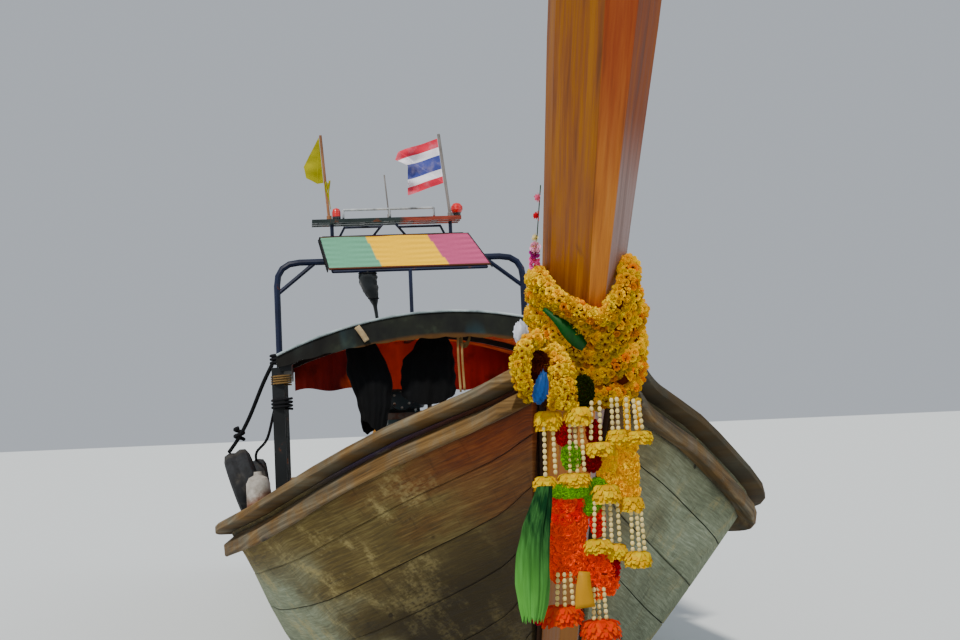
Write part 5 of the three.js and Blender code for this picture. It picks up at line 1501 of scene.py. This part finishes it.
def float_finish():
    """A foam float: grey-white, with a painted brown shadow low down on its port side."""
    f = Finish("float_foam", rough=0.7, specular=0.3)
    blotches = f.noise(9, detail=7, rough=0.65)
    white = f.ramp(blotches, (0.32, (112, 106, 98)), (0.6, (178, 174, 168)), (0.8, (206, 204, 200)))
    stain = f.ramp(blotches, (0.3, (62, 40, 28)), (0.7, (122, 84, 60)))
    # Painted shadow: lower down and further to port the float turns brown; stain holds the shadow's colour.
    height = f.plus(f.axis("Z"), f.times(f.axis("X"), -0.5))
    edge = f.band(f.plus(height, f.times(blotches, 0.12)), 1.50, 1.44)
    f.colour(f.mix(edge, white, stain))
    f.bump(f.cells(70), 0.002, 0.4)
    return f


DARK_PAINT = painted("arch_paint", (10, 16, 34), 0.12, rough=0.38)
FRAME_PAINT = painted("canopy_frame_paint", (13, 15, 17), 0.35)
RUSTY = painted("rusty_steel_coat", (88, 70, 58), 0.75, worn=(132, 74, 42), rough=0.6)
TAIL_PAINT = painted("tail_coat", (62, 76, 84), 0.55, worn=(124, 70, 42))
ENGINE_PAINT = blackened_toward_fan(painted("engine_coat", (48, 84, 92), 0.45, worn=(70, 52, 40), rough=0.5))
CRADLE_STEEL = blackened_toward_fan(painted("cradle_coat", (88, 70, 58), 0.75, worn=(132, 74, 42), rough=0.6))
POLE_PAINT = painted("pole_coat", (104, 74, 52), 0.4, worn=(70, 40, 26), rough=0.6)
BARE_POLE = painted("bare_pole_coat", (104, 100, 98), 0.3, worn=(90, 60, 44))
BRONZE = painted("bronze_coat", (150, 108, 54), 0.3, worn=(84, 104, 72), rough=0.35, metal=0.85)
for names, finish in (
    (("driver_frame", "tiller"), DARK_PAINT),
    (("canopy_frame",), FRAME_PAINT),
    (("lamp_rack",), rack_finish()),
    (("lamp_starboard",), lamp_finish("beacon_starboard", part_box("lamp_starboard")[0][2] + 0.02)),
    (("lamp_port",), lamp_finish("beacon_port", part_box("lamp_port")[0][2] + 0.024)),
    (("flagpole_starboard",), POLE_PAINT),
    (("flagpole_port", "aerial"), BARE_POLE),
    (("tyre_fender_1", "tyre_fender_2"), rubber_finish()),
    (("net_float",), float_finish()),
    (("swivel_post", "swivel_yoke", "exhaust"), RUSTY),
    (("engine_cradle",), CRADLE_STEEL),
    (("tail_tube", "tail_fin"), TAIL_PAINT),
    (("engine",), ENGINE_PAINT),
    (("intake",), painted("intake_coat", (30, 32, 34), 0.4)),
    (("propeller",), BRONZE),
):
    for name in names:
        dress(name, finish, bevel=0.002)
add_flags()


# The tarred seams between the stem and the planks' ends: half the gap's width, place along, height.
STEM_SEAM = (
    (0.054, -3.93, 0.05),
    (0.057, -4.226, 0.461),
    (0.063, -4.458, 0.783),
    (0.078, -4.685, 1.10),
    (0.092, -4.84, 1.31),
    (0.099, -4.912, 1.405),
)


def add_stem_seams():
    seams = Pieces()
    for side in (-1, 1):
        path = smooth_path([(side * x, y, z) for x, y, z in STEM_SEAM], 4)
        seams.add(*tube(path, 0.0125, 8))
    seams.make("stem_seams", Finish("tarred_seam", rough=0.9, specular=0.1).colour((40, 26, 16)))


def add_lashings():
    """Ropes that are tied off at both ends: fender lashings, canopy ties and the strap on the front hoop."""
    black = Pieces()
    taut = [
        (-0.935, -0.50, 1.60),
        (-0.99, -0.38, 1.50),
        (-1.07, -0.2, 1.33),
        (-1.137, -0.06, 1.215),
        (-1.2, 0.0, 1.13),
    ]
    black.add(*tube(smooth_path(taut, 6), 0.011, 8))
    knot = wound((-1.137, -0.06, 1.2), (0.024, 0, 0), (0, 0.02, 0), 11, 26, 0.006)
    black.add(*tube(knot, 0.011, 7))
    second = [(-0.93, -0.50, 1.36), (-0.98, -0.2, 1.2), (-1.05, 0.2, 1.12), (-1.06, 0.4, 1.06)]
    black.add(*tube(smooth_path(second, 6), 0.008, 7))
    for z in (1.60, 1.36):
        turns = wound((-0.887, -0.55, z), (0.053, 0, 0), (0, 0.053, 0), 18.8, 50, 0.003)
        black.add(*tube(turns, 0.007, 6))
    black.make("fender_lashings", BLACK_ROPE)
    tan = Pieces()
    for side, z in ((-1, 1.49), (1, 1.5)):
        turns = wound((side * 0.887, -0.55, z), (0.052, 0, 0), (0, 0.052, 0), 25, 60, 0.002)
        tan.add(*tube(turns, 0.005, 6))
    for k in range(3):
        centre = (0.105, CANOPY_FRONT + 0.035 + 0.011 * k, 1.755 - 0.01 * k)
        tan.add(*tube(hoop(centre, (0.034, 0, 0), (0, 0, 0.08), 24), 0.0055, 7, closed=True))
    tan.make("frame_ties", ROPE)
    web = Pieces()
    for x, top, bottom, y in ((0.072, 1.81, 1.413, -0.575), (0.094, 1.81, 1.42, -0.57)):
        middle = (x - 0.004, y - 0.004, (top + bottom) / 2)
        path = smooth_path([(x, y, top), middle, (x + 0.002, y, bottom)], 8)
        web.add(*ribbon(path, lambda t: 0.012, lambda t: (0.1, -1, 0)))
    webbing = cloth_finish("webbing", ((88, 66, 40), (140, 110, 70), (168, 142, 100)), dirt=0.3)
    web.make("hoop_strap", webbing)
    fall = ((-0.475, 0.022, 1.785), (-0.448, 0.03, 1.745), (-0.424, 0.026, 1.705))
    path = smooth_path([(x, CANOPY_FRONT - ahead, z) for x, ahead, z in fall], 6)
    tag = Pieces().add(*ribbon(path, lambda t: 0.032, lambda t: (0.1, -1, 0.1)))
    pale = cloth_finish("tag_cloth", ((120, 104, 78), (170, 152, 122), (196, 182, 152)), dirt=0.2)
    tag.make("canopy_tag", pale)


add_stem_seams()
add_lashings()

# The engine's small parts, placed from the tilt pin as the solids are: x to port, y aft, z up.
PIVOT_PLACE = Vector((0, 4.55, 1.27))
AT_PIN = np.array(Matrix.Translation(PIVOT_PLACE) @ Matrix.Rotation(math.radians(-3), 4, "X"))
ENGINE_FRONT, ENGINE_BACK, SHAFT = -0.93, -0.26, 0.082


class TailPieces(Pieces):
    """Pieces whose points are given from the tilt pin."""

    def add(self, points, faces, tint=(1.0, 1.0, 1.0)):
        points = np.asarray(points, dtype=float)
        return super().add(points @ AT_PIN[:3, :3].T + AT_PIN[:3, 3], faces, tint)


def bolt(pieces, place, toward, size):
    """A washer and a six-sided head."""
    pieces.add(*lathe([(size * 1.35, 0), (size * 1.35, size * 0.25)], place, toward, 14))
    pieces.add(*lathe([(size, 0), (size, size * 0.75), (size * 0.8, size * 0.95)], place, toward, 6))


def bolt_ring(pieces, centre, radius, count, way, size, turn=0.0):
    """Bolts in a ring round a centre that face along Y; the turn is a share of the gap between two."""
    x, y, z = centre
    for k in range(count):
        a = 2 * math.pi * (k + turn) / count
        bolt(pieces, (x + radius * math.cos(a), y, z + radius * math.sin(a)), (0, way, 0), size)


def belt_path(wheels, y, out):
    """The outline of a belt round wheels given as x, z and radius."""
    cloud = sorted(
        (float(p[0]), float(p[2]))
        for x, z, r in wheels
        for p in hoop((x, y, z), (r + out, 0, 0), (0, 0, r + out), 40)
    )
    hull = []
    for points in (cloud, cloud[::-1]):
        chain = []
        for p in points:
            while len(chain) > 1:
                (ax, az), (bx, bz) = chain[-2:]
                if (bx - ax) * (p[1] - az) - (bz - az) * (p[0] - ax) > 0:
                    break
                chain.pop()
            chain.append(p)
        hull += chain[:-1]
    return [(x, y, z) for x, z in hull]


def add_engine_details():
    front, back = ENGINE_FRONT, ENGINE_BACK
    steel = TailPieces()
    for y in np.linspace(front + 0.08, back - 0.08, 5):
        for x in (-0.072, 0.052):
            bolt(steel, (x, y, 0.41), (0, 0, 1), 0.009)
    for side in (-1, 1):
        for y in np.linspace(front + 0.06, back - 0.06, 8):
            bolt(steel, (side * 0.115, y, 0.285), (side, 0, 0), 0.008)
        for y in np.linspace(front + 0.1, back - 0.1, 9):
            bolt(steel, (side * 0.106, y, -0.03), (side, 0, 0), 0.006)
        for y in (front + 0.11, back - 0.07):
            bolt(steel, (side * 0.205, y, -0.005), (0, 0, 1), 0.012)
    bolt_ring(steel, (0, back - 0.005, SHAFT + 0.02), 0.158, 10, -1, 0.009)
    bolt_ring(steel, (0, front - 0.05, SHAFT), 0.066, 6, -1, 0.008, 0.5)
    bolt_ring(steel, (0, back + 0.216, SHAFT + 0.02), 0.076, 6, 1, 0.008, 0.5)
    for x, z in ((0.118, 0.215), (0.0, 0.27)):
        bolt(steel, (x, front - 0.042, z), (0, -1, 0), 0.016)
        bolt_ring(steel, (x, front - 0.042, z), 0.034, 6, -1, 0.005)
    for k in range(4):
        y = front + 0.11 + 0.15 * k
        foot = (0.13, front + 0.2 + 0.03 * k, 0.19)
        fuel_pipe = smooth_path([foot, (0.158, y - 0.02, 0.26), (0.15, y, 0.30), (0.118, y, 0.352)], 5)
        steel.add(*tube(fuel_pipe, 0.0035, 6))
        steel.add(*lathe([(0.012, 0), (0.012, 0.03), (0.006, 0.045)], (0.1, y, 0.355), (0.4, 0, 1), 8))
    dipstick = [(-0.14, back - 0.2, 0.02), (-0.16, back - 0.21, 0.15), (-0.158, back - 0.2, 0.26)]
    steel.add(*tube(smooth_path(dipstick, 5), 0.004, 6))
    pull = hoop((-0.158, back - 0.2, 0.274), (0.014, 0, 0), (0, 0, 0.014), 12)
    steel.add(*tube(pull, 0.003, 6, closed=True))
    bolt_steel = painted("bolt_steel", (120, 118, 112), 0.5, worn=(112, 70, 44), metal=0.8)
    steel.make("engine_bolts", bolt_steel, body="tail")

    rubber = TailPieces()
    wheels = (0, SHAFT, 0.085), (0.118, 0.215, 0.055), (0, 0.27, 0.055)
    rubber.add(*tube(smooth_path(belt_path(wheels, front - 0.02, 0.002), 1), 0.008, 8))
    hose = ((-0.05, 0.02, 0.33), (-0.05, -0.07, 0.34), (-0.1, -0.085, 0.25), (-0.14, -0.03, 0.12))
    rubber.add(*tube(smooth_path([(x, front + y, z) for x, y, z in hose], 6), 0.019, 12))
    fuel_line = ((0.17, -0.8, 0.28), (0.13, -0.5, 0.41), (0.02, -0.33, 0.42))
    for a, b in zip(fuel_line, fuel_line[1:]):
        middle = (np.array(a) + b) / 2 + (0.015, 0, 0.012)
        rubber.add(*tube(smooth_path([a, middle, b], 8), 0.006, 7))
    rubber.make("engine_hoses", Finish("hose_rubber", rough=0.6).colour((22, 22, 24)), body="tail")

    fittings = TailPieces()
    for profile, place, toward, sides in (
        (((0.03, 0), (0.03, 0.02), (0.024, 0.03), (0.01, 0.034)), (-0.01, -0.45, 0.408), (0, 0, 1), 12),
        (((0.052, 0), (0.055, 0.01), (0.055, 0.16), (0.04, 0.19)), (-0.17, -0.42, 0.05), (0, 1, 0), 20),
        (((0.028, 0), (0.03, 0.01), (0.03, 0.12), (0.018, 0.13)), (-0.17, -0.40, 0.12), (0, 1, 0), 14),
        (((0.04, 0), (0.042, 0.006), (0.042, 0.09), (0.03, 0.1)), (0.175, -0.42, 0.14), (0, 0, -1), 18),
    ):
        fittings.add(*lathe(profile, place, toward, sides))
    fittings.add(*block((0.06, 0.2, 0.08), (0.165, -0.66, 0.14)))
    fittings.make("engine_fittings", painted("fitting_coat", (40, 42, 46), 0.4), body="tail")


def add_tail_details():
    pieces = TailPieces()
    bolt_ring(pieces, (0, 3.57, SHAFT), 0.036, 4, 1, 0.006, 0.5)
    for side in (-1, 1):
        for x, y in ((0.05, 1.22), (0.05, 0.6), (0.059, 3.22), (0.059, 3.33)):
            bolt(pieces, (side * x, y, SHAFT), (side, 0, 0), 0.009)
        for y in (0.235, 0.27):
            bolt(pieces, (side * 0.19, y, -0.004), (0, 0, 1), 0.009)
    bolt_steel = painted("tail_bolt_steel", (110, 106, 100), 0.7, worn=(120, 66, 38), metal=0.7)
    pieces.make("tail_bolts", bolt_steel, body="tail")


def add_nails():
    """Nail heads in the seats, in two rows along each."""
    pieces = Pieces()
    for k in SEATS:
        low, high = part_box(f"seat_{k}")
        for x in np.linspace(low[0] + 0.12, high[0] - 0.12, 6):
            for y in (low[1] + 0.05, high[1] - 0.05):
                head = [(0.006, -0.002), (0.006, 0.001), (0.003, 0.002)]
                pieces.add(*lathe(head, (x, y, high[2]), (0, 0, 1), 8))
    pieces.make("seat_nails", painted("nail_steel", (84, 70, 60), 0.6, worn=(96, 50, 30), metal=0.6))


add_engine_details()
add_tail_details()
add_nails()
